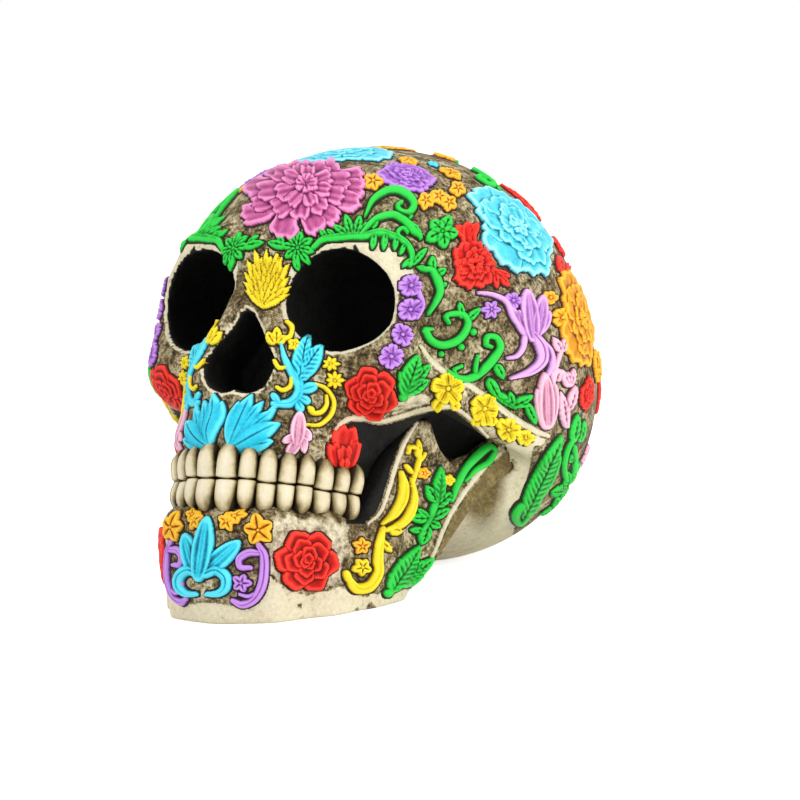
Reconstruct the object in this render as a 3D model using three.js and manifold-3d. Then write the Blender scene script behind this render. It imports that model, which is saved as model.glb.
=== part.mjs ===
// A painted ornamental skull: a cranium and a closed jaw, two rows of teeth, and
// raised flowers, leaves and scrolls set on the bone. Millimetres, +Z up. The face
// looks along -Y and the skull's left side is +X. The origin is the middle of the
// footprint, on the surface that the jaw base and the back of the head stand on.
import * as THREE from 'three';
import { mergeVertices } from 'three/addons/utils/BufferGeometryUtils.js';
import Module from 'manifold-3d';

const wasm = await Module();
wasm.setup();

// Fits
const GAP = 0.3; // clearance between two pieces that touch
const SINK = 1.6; // how far a sprig's blank reaches into the bone before it is cut to fit

// Posture: the face is built upright and then tipped back about the origin
const FACE_TILT = THREE.MathUtils.degToRad(17);
const FACE_Y = -5;

// Braincase, as blended ellipsoids: centre and half sizes
const CASE = { centre: [0, 21, 77], half: [72.4, 72, 71] };
const OCCIPUT = { centre: [0, 43, 58], half: [66, 51, 58] };
const FOREHEAD = { centre: [0, -9, 100], half: [50.5, 44, 44] };

// Face, in the upright face frame
const FOSSA = { centre: [62, -24, 31], half: [30, 34, 30] };
const MAXILLA = { centre: [0, -60, 50], half: [32, 27, 34] };
const GUM = { centre: [0, -58, 36], half: [32, 33, 12] };
const THROAT = { centre: [0, -32, 28], half: [26, 30, 34] };
const CHEEK = { centre: [37, -57, 63], half: [14, 12, 12] };
const ORBIT = { centre: [27, -60, 86.5], half: [18.6, 30, 19.5] };
const NASAL_BONE = [[0, -58, 99, 6], [0, -83, 80, 4]];
const NOSE_FLANK = [[8, -65, 86, 4.5], [14, -79, 58, 6]];
const ORBIT_RIM = [
  [8, -57, 97, 5], [22, -65, 103, 5.5], [35, -66, 102, 5], [43, -62, 93, 4.5],
  [46, -59, 79, 5], [42, -61, 68, 6], [26, -66, 66, 6], [12, -63, 78, 4.5],
];

// Nose opening: half of a pear across the face, cut back to a set depth
const NOSE_PEAR = [[0, 0, 77, 2.8], [4.5, 0, 61, 9]];
const NOSE_BACK = -62;
const CHEEK_ARCH = [[44, -52, 63, 8], [55, -38, 59, 6], [61, -20, 53.5, 5.5], [64, 10, 49.5, 5]];

// How far each shape blends into the ones before it
const BLEND = {
  occiput: 12, forehead: 14, fossa: 8, maxilla: 10, gum: 8, throat: 6, cheek: 9, orbitRim: 10,
  noseBones: 6, orbit: 2.5, nose: 1.5, noseBack: 3, cheekArch: 5, jawWall: 4, chin: 8, ramus: 6,
};

// Jaw: a wall of even thickness along a half arch, given as x, y and top height
const JAW_WALL = [[0, -85, 31], [16, -80, 30], [27, -66, 27], [32, -51, 21], [34, -42, 18]];
const JAW_RADIUS = 7.5;
const JAW_FOOT = 5; // how far the wall runs below the base before it is cut flat
const CHIN = { centre: [0, -84, 12], half: [20, 10.5, 16] };

// Upright branch of the jaw: side outline in the face frame, and the plane it lies in
const RAMUS_OUTLINE = [
  [-52, 12], [-44, 34], [-36, 49], [-32, 50], [-26, 42], [-18, 37], [-8, 42], [4, 52],
  [24, 57], [26, 54], [10, 45], [-6, 28], [-15, 12], [-23, -1], [-31, -8], [-44, -10],
];
const RAMUS_PLANE = { x: 43.3, flare: 0.28, lean: 0.12 };
const RAMUS_HALF = 1.5;
const RAMUS_ROUND = 2;

// Teeth: a quarter ellipse each side, in the face frame
const BITE_HEIGHT = 22;
const TOOTH_ARCH = { back: -54, halfWidth: 31, depth: 36 };
const TOOTH_WIDTHS = [8.6, 7, 7.4, 7, 7, 8.2, 8, 7.4];
const TOOTH_DEPTH = 7.4;
const TOOTH_OVERLAP = 1.06;
const UPPER_TOOTH = 14;
const LOWER_TOOTH = 11;
const CROWN_SQUARE = 0.62; // 1 is a round crown, 0 a square one
const CROWN_FACETS = [8, 4];

// Facet sizes of the sculpted bone, and the space sampled round it: from, to, and
// where the facets grow from fine to coarse
const FINE_STEP = 6.2;
const COARSE_STEP = 11;
const GRID_X = 88;
const CRANIUM_GRID = { y: [-105, 120, -20], z: [-20, 175, 130] };
const JAW_GRID = { y: [-115, 55, 200], z: [-20, 80, 200] };
const GROWTH = [-25, 35]; // the facets grow between these distances from that turn
const FLOOR_SPAN = 400;
const FLOOR_DEPTH = 100;

// Relief of the ornament
const RELIEF = 2.4;
const LEAF_RELIEF = 1.8;
const FLOWER_FOOT = 0.94; // a flower's foot is a little narrower than its rim
const FLOWER_NOTCH = 0.3; // how far the rim is drawn in between petals
const STAR_NOTCH = 0.55;
const SMALL_FLOWER = 6;
const LEAF_BELLY = 0.8; // below 1 the widest part moves towards the tip
const LEAF_TOOTH = 0.72;
const SCROLL_STEPS = 7;
const SCROLL_CURL = 0.62; // how much of its radius a scroll loses from root to tip
const SCROLL_TIP = 0.1;
const SCROLL_BELLY = 0.16;

const TONES = {
  bone: [0x8d8168, 0.75],
  jaw: [0x948a72, 0.75],
  enamel: [0xd9cba6, 0.45],
  pink: [0xc46f98, 0.5],
  cyan: [0x4fa9c4, 0.5],
  yellow: [0xcfb02c, 0.5],
  green: [0x1f9a4b, 0.5],
  red: [0xc9302f, 0.5],
  purple: [0x9a68b8, 0.5],
  orange: [0xd98a23, 0.5],
  blue: [0x3f9fd0, 0.5],
};

// Ornament on the midline
const MIDLINE_SPRIGS = [
  { name: 'forehead_dahlia', at: [5, -33, 137], flower: [12, 21], tone: 'pink' },
  { name: 'crown_flower', at: [0, 4, 147], flower: [8, 14], tone: 'cyan' },
  { name: 'glabella_leaf', at: [3, -54, 110], leaf: [19, 14, 4], tone: 'yellow' },
  { name: 'chin_lily', at: [0, -95, 20], star: [6, 10], tone: 'blue', jaw: true },
  { name: 'nape_flower', at: [0, 93, 80], flower: [8, 17], tone: 'cyan' },
];

// Ornament on the left side, which the right side mirrors
const PAIRED_SPRIGS = [
  { name: 'temple_flower', at: [57, 20, 119], flower: [8, 16], tone: 'cyan' },
  { name: 'temple_rose', at: [57, -8, 111], flower: [6, 8.5], tone: 'red' },
  { name: 'side_lily', at: [67, 6, 91], star: [6, 10.5], tone: 'purple' },
  { name: 'side_flower', at: [67, 39, 86], flower: [6, 14], tone: 'orange' },
  { name: 'side_tulip', at: [69, 24, 63], leaf: [20, 13, 2], turn: 20, tone: 'pink' },
  { name: 'cheek_rose', at: [43, -52, 72], flower: [6, 8.7], tone: 'red' },
  { name: 'brow_garland', at: [35, -35, 122], leaf: [34, 7, 5], turn: 105, tone: 'green' },
  { name: 'brow_scroll', at: [35, -21, 132], scroll: [8, 250], turn: 30, tone: 'green' },
  { name: 'arch_flower_front', at: [57, -30, 71], flower: [5, 5.6], tone: 'yellow' },
  { name: 'arch_flower_back', at: [62, -15, 61], flower: [5, 5], tone: 'yellow' },
  { name: 'nose_leaf', at: [21, -63, 81], leaf: [15, 7, 2], turn: 20, tone: 'blue' },
  { name: 'lip_palmette', at: [8, -77, 66], leaf: [13, 12, 3], turn: -12, tone: 'blue' },
  { name: 'cheek_scroll', at: [28, -61, 69], scroll: [5.5, 270], turn: 200, tone: 'yellow' },
  { name: 'orbit_flower_upper', at: [48, -37, 102], flower: [5, 5], tone: 'purple' },
  { name: 'orbit_flower_lower', at: [47, -45, 87], flower: [5, 5], tone: 'purple' },
  { name: 'chin_rose', at: [27, -78, 19], flower: [6, 11], tone: 'red', jaw: true },
  { name: 'chin_scroll', at: [15, -91, 15], scroll: [6, 270], turn: 60, tone: 'purple', jaw: true },
  { name: 'jaw_scroll', at: [38, -57, 12], scroll: [7, 270], turn: 240, tone: 'yellow', jaw: true },
  { name: 'jaw_leaf', at: [42, -34, 12], leaf: [19, 9, 3], turn: -35, tone: 'green', jaw: true },
  { name: 'ramus_leaf', at: [39, -35, 35], leaf: [19, 6, 2], turn: -20, tone: 'yellow', jaw: true },
  { name: 'ramus_sprig', at: [45, -14, 33], leaf: [18, 8, 3], turn: -25, tone: 'green', jaw: true },
  { name: 'nape_leaf', at: [58, 29, 33], leaf: [26, 9, 4], turn: -15, tone: 'green' },
  { name: 'crown_blossom', at: [32, -2, 140], flower: [6, 7.5], tone: 'purple' },
  { name: 'temple_scroll', at: [56, -22, 93], scroll: [8, 280], turn: 120, tone: 'green' },
  { name: 'mouth_leaf', at: [24, -69, 64], leaf: [10, 7, 2], turn: 10, tone: 'pink' },
];

// Ornament cast in one with the back of the head, first on the midline, then on the left
const CAST_MIDLINE = [
  { at: [0, 78, 119], flower: [6, 9] },
  { at: [0, 32, 147], flower: [6, 9] },
  { at: [0, 56, 138], leaf: [12.5, 14, 2] },
  { at: [0, 97, 52], leaf: [14, 15, 2] },
  { at: [0, 86, 20], flower: [5, 8.4] },
];
const CAST_PAIRED = [
  { at: [37, 79, 80], flower: [7, 11.8] },
  { at: [40, 52, 124], flower: [7, 9] },
  { at: [54, 67, 58], flower: [6, 8.4] },
  { at: [34, 84, 40], flower: [6, 7] },
  { at: [24, 77, 112], flower: [5, 5.6] },
  { at: [62, 54, 68], flower: [5, 5.6] },
  { at: [20, 38, 143], flower: [5, 4.5] },
  { at: [24, 90, 62], leaf: [9.2, 10.7, 2], turn: 60 },
  { at: [52, 66, 87], leaf: [9.2, 10.7, 2], turn: -30 },
  { at: [46, 68, 30], leaf: [10, 11.7, 2], turn: 30 },
];

const clamp = THREE.MathUtils.clamp;

function smoothMin(a, b, k) {
  const h = clamp(0.5 + (0.5 * (b - a)) / k, 0, 1);
  return b * (1 - h) + a * h - k * h * (1 - h);
}

function smoothMax(a, b, k) {
  return -smoothMin(-a, -b, k);
}

function ellipsoid([x, y, z], { centre, half }) {
  const u = (x - centre[0]) / half[0];
  const v = (y - centre[1]) / half[1];
  const w = (z - centre[2]) / half[2];
  const length = Math.hypot(u, v, w);
  const slope = Math.hypot(u / half[0], v / half[1], w / half[2]);
  return (length * (length - 1)) / Math.max(slope, 1e-9);
}

// Distance to a row of tapered rods; each joint is x, y, z and radius
function rods([x, y, z], joints) {
  let best = Infinity;
  for (let i = 0; i + 1 < joints.length; i += 1) {
    const [ax, ay, az, ar] = joints[i];
    const [bx, by, bz, br] = joints[i + 1];
    const [ux, uy, uz] = [bx - ax, by - ay, bz - az];
    const along = (x - ax) * ux + (y - ay) * uy + (z - az) * uz;
    const t = clamp(along / (ux * ux + uy * uy + uz * uz), 0, 1);
    const gap = Math.hypot(x - ax - t * ux, y - ay - t * uy, z - az - t * uz);
    best = Math.min(best, gap - (ar + t * (br - ar)));
  }
  return best;
}

function insideOutline(u, v, outline) {
  let best = Infinity;
  let inside = false;
  outline.forEach(([ax, ay], i) => {
    const [bx, by] = outline[(i + 1) % outline.length];
    const [ex, ey] = [bx - ax, by - ay];
    const t = clamp(((u - ax) * ex + (v - ay) * ey) / (ex * ex + ey * ey), 0, 1);
    best = Math.min(best, Math.hypot(u - ax - t * ex, v - ay - t * ey));
    if (ay > v !== by > v && u < ax + (ex * (v - ay)) / ey) inside = !inside;
  });
  return inside ? -best : best;
}

// The face frame folds the two sides together and takes the tilt out
function toFace([x, y, z]) {
  const c = Math.cos(FACE_TILT);
  const s = Math.sin(FACE_TILT);
  return [Math.abs(x), (y - FACE_Y) * c - z * s, (y - FACE_Y) * s + z * c];
}

function fromFace([x, y, z]) {
  const c = Math.cos(FACE_TILT);
  const s = Math.sin(FACE_TILT);
  return [x, y * c + z * s + FACE_Y, -y * s + z * c];
}

function craniumField(p) {
  const f = toFace(p);
  let d = smoothMin(ellipsoid(p, CASE), ellipsoid(p, OCCIPUT), BLEND.occiput);
  d = smoothMin(d, ellipsoid(p, FOREHEAD), BLEND.forehead);
  d = smoothMax(d, -ellipsoid(f, FOSSA), BLEND.fossa);
  d = smoothMin(d, ellipsoid(f, MAXILLA), BLEND.maxilla);
  d = smoothMin(d, ellipsoid(f, GUM), BLEND.gum);
  d = smoothMin(d, ellipsoid(f, THROAT), BLEND.throat);
  d = smoothMin(d, ellipsoid(f, CHEEK), BLEND.cheek);
  d = smoothMin(d, rods(f, ORBIT_RIM), BLEND.orbitRim);
  d = smoothMin(d, rods(f, NASAL_BONE), BLEND.noseBones);
  d = smoothMin(d, rods(f, NOSE_FLANK), BLEND.noseBones);
  d = smoothMax(d, -ellipsoid(f, ORBIT), BLEND.orbit);
  const nose = smoothMax(rods([f[0], 0, f[2]], NOSE_PEAR), f[1] - NOSE_BACK, BLEND.noseBack);
  d = smoothMax(d, -nose, BLEND.nose);
  return smoothMin(d, rods(f, CHEEK_ARCH), BLEND.cheekArch);
}

function jawWall([x, y, z]) {
  let d = Infinity;
  for (let i = 0; i + 1 < JAW_WALL.length; i += 1) {
    const [ax, ay, atop] = JAW_WALL[i];
    const [bx, by, btop] = JAW_WALL[i + 1];
    const [ux, uy] = [bx - ax, by - ay];
    const t = clamp(((Math.abs(x) - ax) * ux + (y - ay) * uy) / (ux * ux + uy * uy), 0, 1);
    const above = Math.max(z - (atop + t * (btop - atop)), 0);
    const part = Math.hypot(Math.abs(x) - ax - t * ux, y - ay - t * uy, above) - JAW_RADIUS;
    d = i === 0 ? part : smoothMin(d, part, BLEND.jawWall);
  }
  return d;
}

function ramus([x, y, z]) {
  const side = insideOutline(y, z, RAMUS_OUTLINE);
  const plane = RAMUS_PLANE.x + RAMUS_PLANE.flare * y + RAMUS_PLANE.lean * z;
  const slope = Math.hypot(1, RAMUS_PLANE.flare, RAMUS_PLANE.lean);
  const off = Math.abs(x - plane) / slope - RAMUS_HALF;
  const outer = Math.hypot(Math.max(side, 0), Math.max(off, 0));
  return outer + Math.min(Math.max(side, off), 0) - RAMUS_ROUND;
}

function jawField(p) {
  const wall = smoothMin(jawWall(p), ellipsoid(p, CHIN), BLEND.chin);
  const d = smoothMin(wall, ramus(toFace(p)), BLEND.ramus);
  return Math.max(d, -JAW_FOOT - p[2]);
}

function gradient(field, [x, y, z]) {
  const e = 0.05;
  const g = [
    field([x + e, y, z]) - field([x - e, y, z]),
    field([x, y + e, z]) - field([x, y - e, z]),
    field([x, y, z + e]) - field([x, y, z - e]),
  ];
  return g.map((v) => v / (2 * e));
}

// Moves a point onto the surface of a field and returns it with the outward direction
function settle(field, point, rounds = 6) {
  let p = point;
  for (let i = 0; i < rounds; i += 1) {
    const g = gradient(field, p);
    const step = field(p) / Math.max(g[0] ** 2 + g[1] ** 2 + g[2] ** 2, 0.2);
    p = p.map((v, k) => v - step * g[k]);
  }
  const g = gradient(field, p);
  const length = Math.hypot(...g);
  return { p, normal: g.map((v) => v / length) };
}

function symmetricAxis(reach, step) {
  const half = Math.ceil(reach / step);
  return Array.from({ length: 2 * half }, (_, i) => (i - half + 0.5) * step);
}

// Grid lines from one end to the other whose spacing grows past a turning point
function growingAxis(from, to, turn) {
  const lines = [from];
  while (lines.at(-1) < to) {
    const blend = THREE.MathUtils.smoothstep(lines.at(-1), turn + GROWTH[0], turn + GROWTH[1]);
    lines.push(lines.at(-1) + FINE_STEP + (COARSE_STEP - FINE_STEP) * blend);
  }
  return lines;
}

// Where the samples round a grid face alternate in sign the surface would cross itself,
// so the weakest of the four samples changes side, until no such face is left
function untangle(values, [nx, ny, nz], at) {
  let changed = false;
  const mend = (...four) => {
    const inside = four.map((n) => values[n] < 0);
    if (inside[0] !== inside[2] || inside[1] !== inside[3] || inside[0] === inside[1]) return;
    const weakest = four.reduce((a, b) => (Math.abs(values[b]) < Math.abs(values[a]) ? b : a));
    values[weakest] = values[weakest] < 0 ? 0.01 : -0.01;
    changed = true;
  };
  for (let i = 0; i + 1 < nx; i += 1) {
    for (let j = 0; j + 1 < ny; j += 1) {
      for (let k = 0; k + 1 < nz; k += 1) {
        mend(at(i, j, k), at(i + 1, j, k), at(i + 1, j + 1, k), at(i, j + 1, k));
        mend(at(i, j, k), at(i, j + 1, k), at(i, j + 1, k + 1), at(i, j, k + 1));
        mend(at(i, j, k), at(i + 1, j, k), at(i + 1, j, k + 1), at(i, j, k + 1));
      }
    }
  }
  if (changed) untangle(values, [nx, ny, nz], at);
}

// Surface of a field as quads between grid cells, with each corner settled on the field
function sculpt(field, xs, ys, zs) {
  const [nx, ny, nz] = [xs.length, ys.length, zs.length];
  const at = (i, j, k) => (i * ny + j) * nz + k;
  const values = new Float64Array(nx * ny * nz);
  xs.forEach((x, i) => ys.forEach((y, j) => zs.forEach((z, k) => {
    values[at(i, j, k)] = field([x, y, z]);
  })));
  untangle(values, [nx, ny, nz], at);
  const corners = [];
  const cellCorner = new Map();
  const cell = (i, j, k) => {
    const key = at(i, j, k);
    if (cellCorner.has(key)) return cellCorner.get(key);
    const sum = [0, 0, 0];
    let count = 0;
    for (let axis = 0; axis < 3; axis += 1) {
      for (let corner = 0; corner < 4; corner += 1) {
        const a = [i, j, k];
        a[(axis + 1) % 3] += corner & 1;
        a[(axis + 2) % 3] += corner >> 1;
        const b = a.map((v, n) => v + (n === axis ? 1 : 0));
        const [va, vb] = [values[at(...a)], values[at(...b)]];
        if (va < 0 === vb < 0) continue;
        const t = va / (va - vb);
        [xs, ys, zs].forEach((lines, n) => {
          sum[n] += lines[a[n]] + t * (lines[b[n]] - lines[a[n]]);
        });
        count += 1;
      }
    }
    corners.push(settle(field, sum.map((v) => v / count), 2).p);
    cellCorner.set(key, corners.length - 1);
    return corners.length - 1;
  };
  const triangles = [];
  const quad = (a, b, c, d, flip) => {
    const loop = flip ? [a, d, c, b] : [a, b, c, d];
    const span = (m, n) => Math.hypot(...corners[m].map((v, i) => v - corners[n][i]));
    const [p, q, r, s] = loop;
    if (span(p, r) < span(q, s)) triangles.push(p, q, r, p, r, s);
    else triangles.push(q, r, s, q, s, p);
  };
  for (let i = 1; i + 1 < nx; i += 1) {
    for (let j = 1; j + 1 < ny; j += 1) {
      for (let k = 1; k + 1 < nz; k += 1) {
        const inside = values[at(i, j, k)] < 0;
        if (inside !== values[at(i + 1, j, k)] < 0) {
          quad(cell(i, j - 1, k - 1), cell(i, j, k - 1), cell(i, j, k), cell(i, j - 1, k), !inside);
        }
        if (inside !== values[at(i, j + 1, k)] < 0) {
          quad(cell(i - 1, j, k - 1), cell(i - 1, j, k), cell(i, j, k), cell(i, j, k - 1), !inside);
        }
        if (inside !== values[at(i, j, k + 1)] < 0) {
          quad(cell(i - 1, j - 1, k), cell(i, j - 1, k), cell(i, j, k), cell(i - 1, j, k), !inside);
        }
      }
    }
  }
  return { corners, triangles };
}

// The sculpted surface as a solid, moved out along the mean direction of its facets
function sculptedSolid({ corners, triangles }, offset) {
  const geometry = new THREE.BufferGeometry();
  geometry.setAttribute('position', new THREE.Float32BufferAttribute(corners.flat(), 3));
  geometry.setIndex(triangles);
  geometry.computeVertexNormals();
  const away = geometry.getAttribute('normal').array;
  return new wasm.Manifold(new wasm.Mesh({
    numProp: 3,
    vertProperties: geometry.getAttribute('position').array.map((v, i) => v + offset * away[i]),
    triVerts: new Uint32Array(triangles),
  }));
}

// A closed three.js geometry as a solid, after each of its points is moved by a function
function solidFrom(geometry, move = (point) => point) {
  const place = geometry.getAttribute('position');
  for (let i = 0; i < place.count; i += 1) {
    place.setXYZ(i, ...move([place.getX(i), place.getY(i), place.getZ(i)]));
  }
  geometry.deleteAttribute('normal');
  geometry.deleteAttribute('uv');
  const merged = mergeVertices(geometry, 1e-3);
  const index = merged.getIndex().array;
  const kept = [];
  for (let i = 0; i < index.length; i += 3) {
    const [a, b, c] = [index[i], index[i + 1], index[i + 2]];
    if (a !== b && b !== c && c !== a) kept.push(a, b, c);
  }
  return new wasm.Manifold(new wasm.Mesh({
    numProp: 3,
    vertProperties: new Float32Array(merged.getAttribute('position').array),
    triVerts: new Uint32Array(kept),
  }));
}

function largestBody(solid) {
  return solid.decompose().reduce((best, part) => (part.volume() > best.volume() ? part : best));
}

function meshFrom(solid, name, tone) {
  const { vertProperties, triVerts } = solid.getMesh();
  const geometry = new THREE.BufferGeometry();
  geometry.setAttribute('position', new THREE.BufferAttribute(new Float32Array(vertProperties), 3));
  geometry.setIndex(new THREE.BufferAttribute(new Uint32Array(triVerts), 1));
  geometry.computeVertexNormals();
  const [color, roughness] = TONES[tone];
  const mesh = new THREE.Mesh(geometry, new THREE.MeshStandardMaterial({ color, roughness, metalness: 0 }));
  mesh.name = name;
  return mesh;
}

function mirrored(mesh, name) {
  const geometry = mesh.geometry.clone().scale(-1, 1, 1);
  const index = geometry.getIndex().array;
  for (let i = 0; i < index.length; i += 3) {
    [index[i], index[i + 1]] = [index[i + 1], index[i]];
  }
  const copy = new THREE.Mesh(geometry, mesh.material.clone());
  copy.name = name;
  return copy;
}

// Bone
const belowBase = new THREE.BoxGeometry(FLOOR_SPAN, FLOOR_SPAN, FLOOR_DEPTH);
const floor = solidFrom(belowBase.translate(0, 0, -FLOOR_DEPTH / 2));
const boneX = symmetricAxis(GRID_X, FINE_STEP);
const craniumSurface = sculpt(
  craniumField, boneX, growingAxis(...CRANIUM_GRID.y), growingAxis(...CRANIUM_GRID.z));
const jawSurface = sculpt(
  jawField, boneX, growingAxis(...JAW_GRID.y), growingAxis(...JAW_GRID.z));
const craniumSeat = sculptedSolid(craniumSurface, GAP);
const jawSeat = sculptedSolid(jawSurface, GAP);
const bareCranium = sculptedSolid(craniumSurface, 0).subtract(floor).subtract(jawSeat);
const jaw = largestBody(sculptedSolid(jawSurface, 0).subtract(floor));

// One crown, a rounded block standing on the arch, from its bite end to its root end,
// grown by a margin all round
function crown(along, width, bite, root, margin) {
  const arch = new THREE.EllipseCurve(
    0, TOOTH_ARCH.back, TOOTH_ARCH.halfWidth, TOOTH_ARCH.depth, -Math.PI / 2, 0);
  const spot = arch.getPointAt(Math.abs(along));
  const run = arch.getTangentAt(Math.abs(along));
  const side = Math.sign(along);
  const middle = (bite + root) / 2;
  const half = Math.abs(root - bite) / 2 + margin;
  const square = (v) => Math.sign(v) * Math.abs(v) ** CROWN_SQUARE;
  return solidFrom(new THREE.SphereGeometry(1, ...CROWN_FACETS).rotateX(Math.PI / 2), ([x, y, z]) => {
    const across = square(x) * ((width / 2) * TOOTH_OVERLAP + margin);
    const deep = square(y) * (TOOTH_DEPTH / 2 + margin);
    const local = [
      side * (spot.x + run.x * across - run.y * deep),
      spot.y + run.y * across + run.x * deep,
      middle + square(z) * half,
    ];
    return fromFace(side > 0 ? local : [local[0], local[1], middle - (local[2] - middle)]);
  });
}

function toothRow(bite, root, margin = 0) {
  const total = TOOTH_WIDTHS.reduce((sum, width) => sum + width);
  const arch = new THREE.EllipseCurve(
    0, TOOTH_ARCH.back, TOOTH_ARCH.halfWidth, TOOTH_ARCH.depth, -Math.PI / 2, 0);
  const scale = arch.getLength() / total;
  const crowns = [];
  let start = 0;
  TOOTH_WIDTHS.forEach((width) => {
    const along = (start + width / 2) / total;
    start += width;
    crowns.push(crown(along, width * scale, bite, root, margin));
    crowns.push(crown(-along, width * scale, bite, root, margin));
  });
  return crowns.reduce((row, next) => row.add(next));
}

const upperBite = BITE_HEIGHT + GAP / 2;
const lowerBite = BITE_HEIGHT - GAP / 2;
const upperSpan = [upperBite, upperBite + UPPER_TOOTH];
const lowerSpan = [lowerBite, lowerBite - LOWER_TOOTH];
const upperTeeth = largestBody(toothRow(...upperSpan).subtract(craniumSeat).subtract(jawSeat));
const lowerTeeth = largestBody(toothRow(...lowerSpan).subtract(jawSeat).subtract(craniumSeat));
const toothSeat = toothRow(...upperSpan, GAP).add(toothRow(...lowerSpan, GAP));

// Wraps flat sprig coordinates (across, up and out of the bone) onto the bone
function wrap(field, { at, turn = 0 }) {
  const seat = settle(field, at);
  const normal = new THREE.Vector3(...seat.normal);
  const up = new THREE.Vector3(0, 0, 1);
  if (Math.abs(normal.z) > 0.9) up.set(0, 1, 0);
  up.addScaledVector(normal, -up.dot(normal)).normalize();
  up.applyAxisAngle(normal, THREE.MathUtils.degToRad(turn));
  const across = new THREE.Vector3().crossVectors(up, normal);
  return ([a, b, out]) => {
    const spot = new THREE.Vector3(...seat.p).addScaledVector(across, a).addScaledVector(up, b);
    const { p, normal: away } = settle(field, spot.toArray());
    return p.map((v, i) => v + away[i] * out);
  };
}

// A flower head: a turned button whose rim is drawn in between the petals
function flowerBlank([petals, radius], notch) {
  const steps = notch < STAR_NOTCH && radius > SMALL_FLOWER ? 3 : 2;
  const profile = [[0, -SINK], [FLOWER_FOOT * radius, -SINK], [radius, 0.5 * RELIEF], [0, RELIEF]];
  const geometry = new THREE.LatheGeometry(
    profile.map(([r, z]) => new THREE.Vector2(r, z)), petals * steps);
  const shape = ([x, y, z]) => {
    const swell = 1 - notch * (0.5 + 0.5 * Math.cos(petals * Math.atan2(x, z)));
    return [-x * swell, z * swell, y];
  };
  return { geometry, shape };
}

// A pointed leaf with toothed margins
function leafBlank([length, width, teeth]) {
  const edge = [];
  for (let i = 1; i < 2 * teeth; i += 1) {
    const t = i / (2 * teeth);
    const swell = Math.sin(Math.PI * t ** LEAF_BELLY) * (i % 2 ? 1 : LEAF_TOOTH);
    edge.push([(width / 2) * swell, (t - 0.5) * length]);
  }
  const tips = [[0, -length / 2], ...edge, [0, length / 2]];
  const back = edge.map(([x, y]) => [-x, y]).reverse();
  const outline = new THREE.Shape([...tips, ...back].map(([x, y]) => new THREE.Vector2(x, y)));
  return extruded(outline);
}

// A tapering ribbon that curls in on itself
function scrollBlank([size, sweep]) {
  const rail = (half) => Array.from({ length: SCROLL_STEPS + 1 }, (_, i) => {
    const t = i / SCROLL_STEPS;
    const angle = THREE.MathUtils.degToRad(sweep) * t;
    const width = SCROLL_TIP + SCROLL_BELLY * Math.sin(Math.PI * t);
    const radius = size * (1 - SCROLL_CURL * t + half * width);
    return new THREE.Vector2(radius * Math.cos(angle), radius * Math.sin(angle));
  });
  return extruded(new THREE.Shape([...rail(1), ...rail(-1).reverse()]));
}

function extruded(outline) {
  const depth = SINK + LEAF_RELIEF;
  const geometry = new THREE.ExtrudeGeometry(outline, { depth, bevelEnabled: false });
  return { geometry: geometry.translate(0, 0, -SINK), shape: (point) => point };
}

function sprigBlank(sprig) {
  if (sprig.flower) return flowerBlank(sprig.flower, FLOWER_NOTCH);
  if (sprig.star) return flowerBlank(sprig.star, STAR_NOTCH);
  if (sprig.leaf) return leafBlank(sprig.leaf);
  return scrollBlank(sprig.scroll);
}

function wrappedBlank(sprig) {
  const { geometry, shape } = sprigBlank(sprig);
  const onto = wrap(sprig.jaw ? jawField : craniumField, sprig);
  return solidFrom(geometry, (point) => onto(shape(point)));
}

// A sprig is wrapped onto its bone, then cut back to leave the clearance under it and by the teeth
function sprigMesh(sprig, name) {
  const blank = wrappedBlank(sprig);
  const seated = largestBody(blank.subtract(craniumSeat).subtract(jawSeat).subtract(toothSeat));
  return meshFrom(seated, name, sprig.tone);
}

// The back of the head with its cast ornament, which is even on both sides
const castRight = CAST_PAIRED.map(({ at: [x, y, z], turn = 0, ...form }) => (
  { at: [-x, y, z], turn: -turn, ...form }));
const cranium = largestBody([...CAST_MIDLINE, ...CAST_PAIRED, ...castRight].reduce(
  (bone, relief) => bone.add(wrappedBlank(relief)), bareCranium));

const skull = new THREE.Group();
skull.add(meshFrom(cranium, 'cranium', 'bone'));
skull.add(meshFrom(jaw, 'mandible', 'jaw'));
skull.add(meshFrom(upperTeeth, 'upper_teeth', 'enamel'));
skull.add(meshFrom(lowerTeeth, 'lower_teeth', 'enamel'));
MIDLINE_SPRIGS.forEach((sprig) => skull.add(sprigMesh(sprig, sprig.name)));
PAIRED_SPRIGS.forEach((sprig) => {
  const left = sprigMesh(sprig, `${sprig.name}_left`);
  skull.add(left, mirrored(left, `${sprig.name}_right`));
});

export default skull;
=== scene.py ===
"""A painted ornamental skull: carved bone, a closed jaw, two rows of teeth, and raised painted flowers,
leaves and scrolls. Shapes are worked out in millimetres and placed in metres."""

import bpy
import numpy as np
from mathutils import Matrix, Vector


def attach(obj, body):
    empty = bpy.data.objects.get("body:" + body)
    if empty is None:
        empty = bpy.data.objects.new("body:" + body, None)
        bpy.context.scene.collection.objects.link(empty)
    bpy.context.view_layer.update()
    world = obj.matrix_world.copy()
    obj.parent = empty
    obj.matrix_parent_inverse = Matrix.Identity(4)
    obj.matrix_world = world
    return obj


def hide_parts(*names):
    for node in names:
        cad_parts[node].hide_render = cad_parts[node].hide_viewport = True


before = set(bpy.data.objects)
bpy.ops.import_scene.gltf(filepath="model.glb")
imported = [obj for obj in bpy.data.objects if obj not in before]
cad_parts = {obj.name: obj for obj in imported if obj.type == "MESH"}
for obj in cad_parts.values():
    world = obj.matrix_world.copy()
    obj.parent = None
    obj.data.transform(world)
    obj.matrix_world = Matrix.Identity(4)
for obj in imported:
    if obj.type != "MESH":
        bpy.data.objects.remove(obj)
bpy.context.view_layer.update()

MM = 0.001

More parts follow.
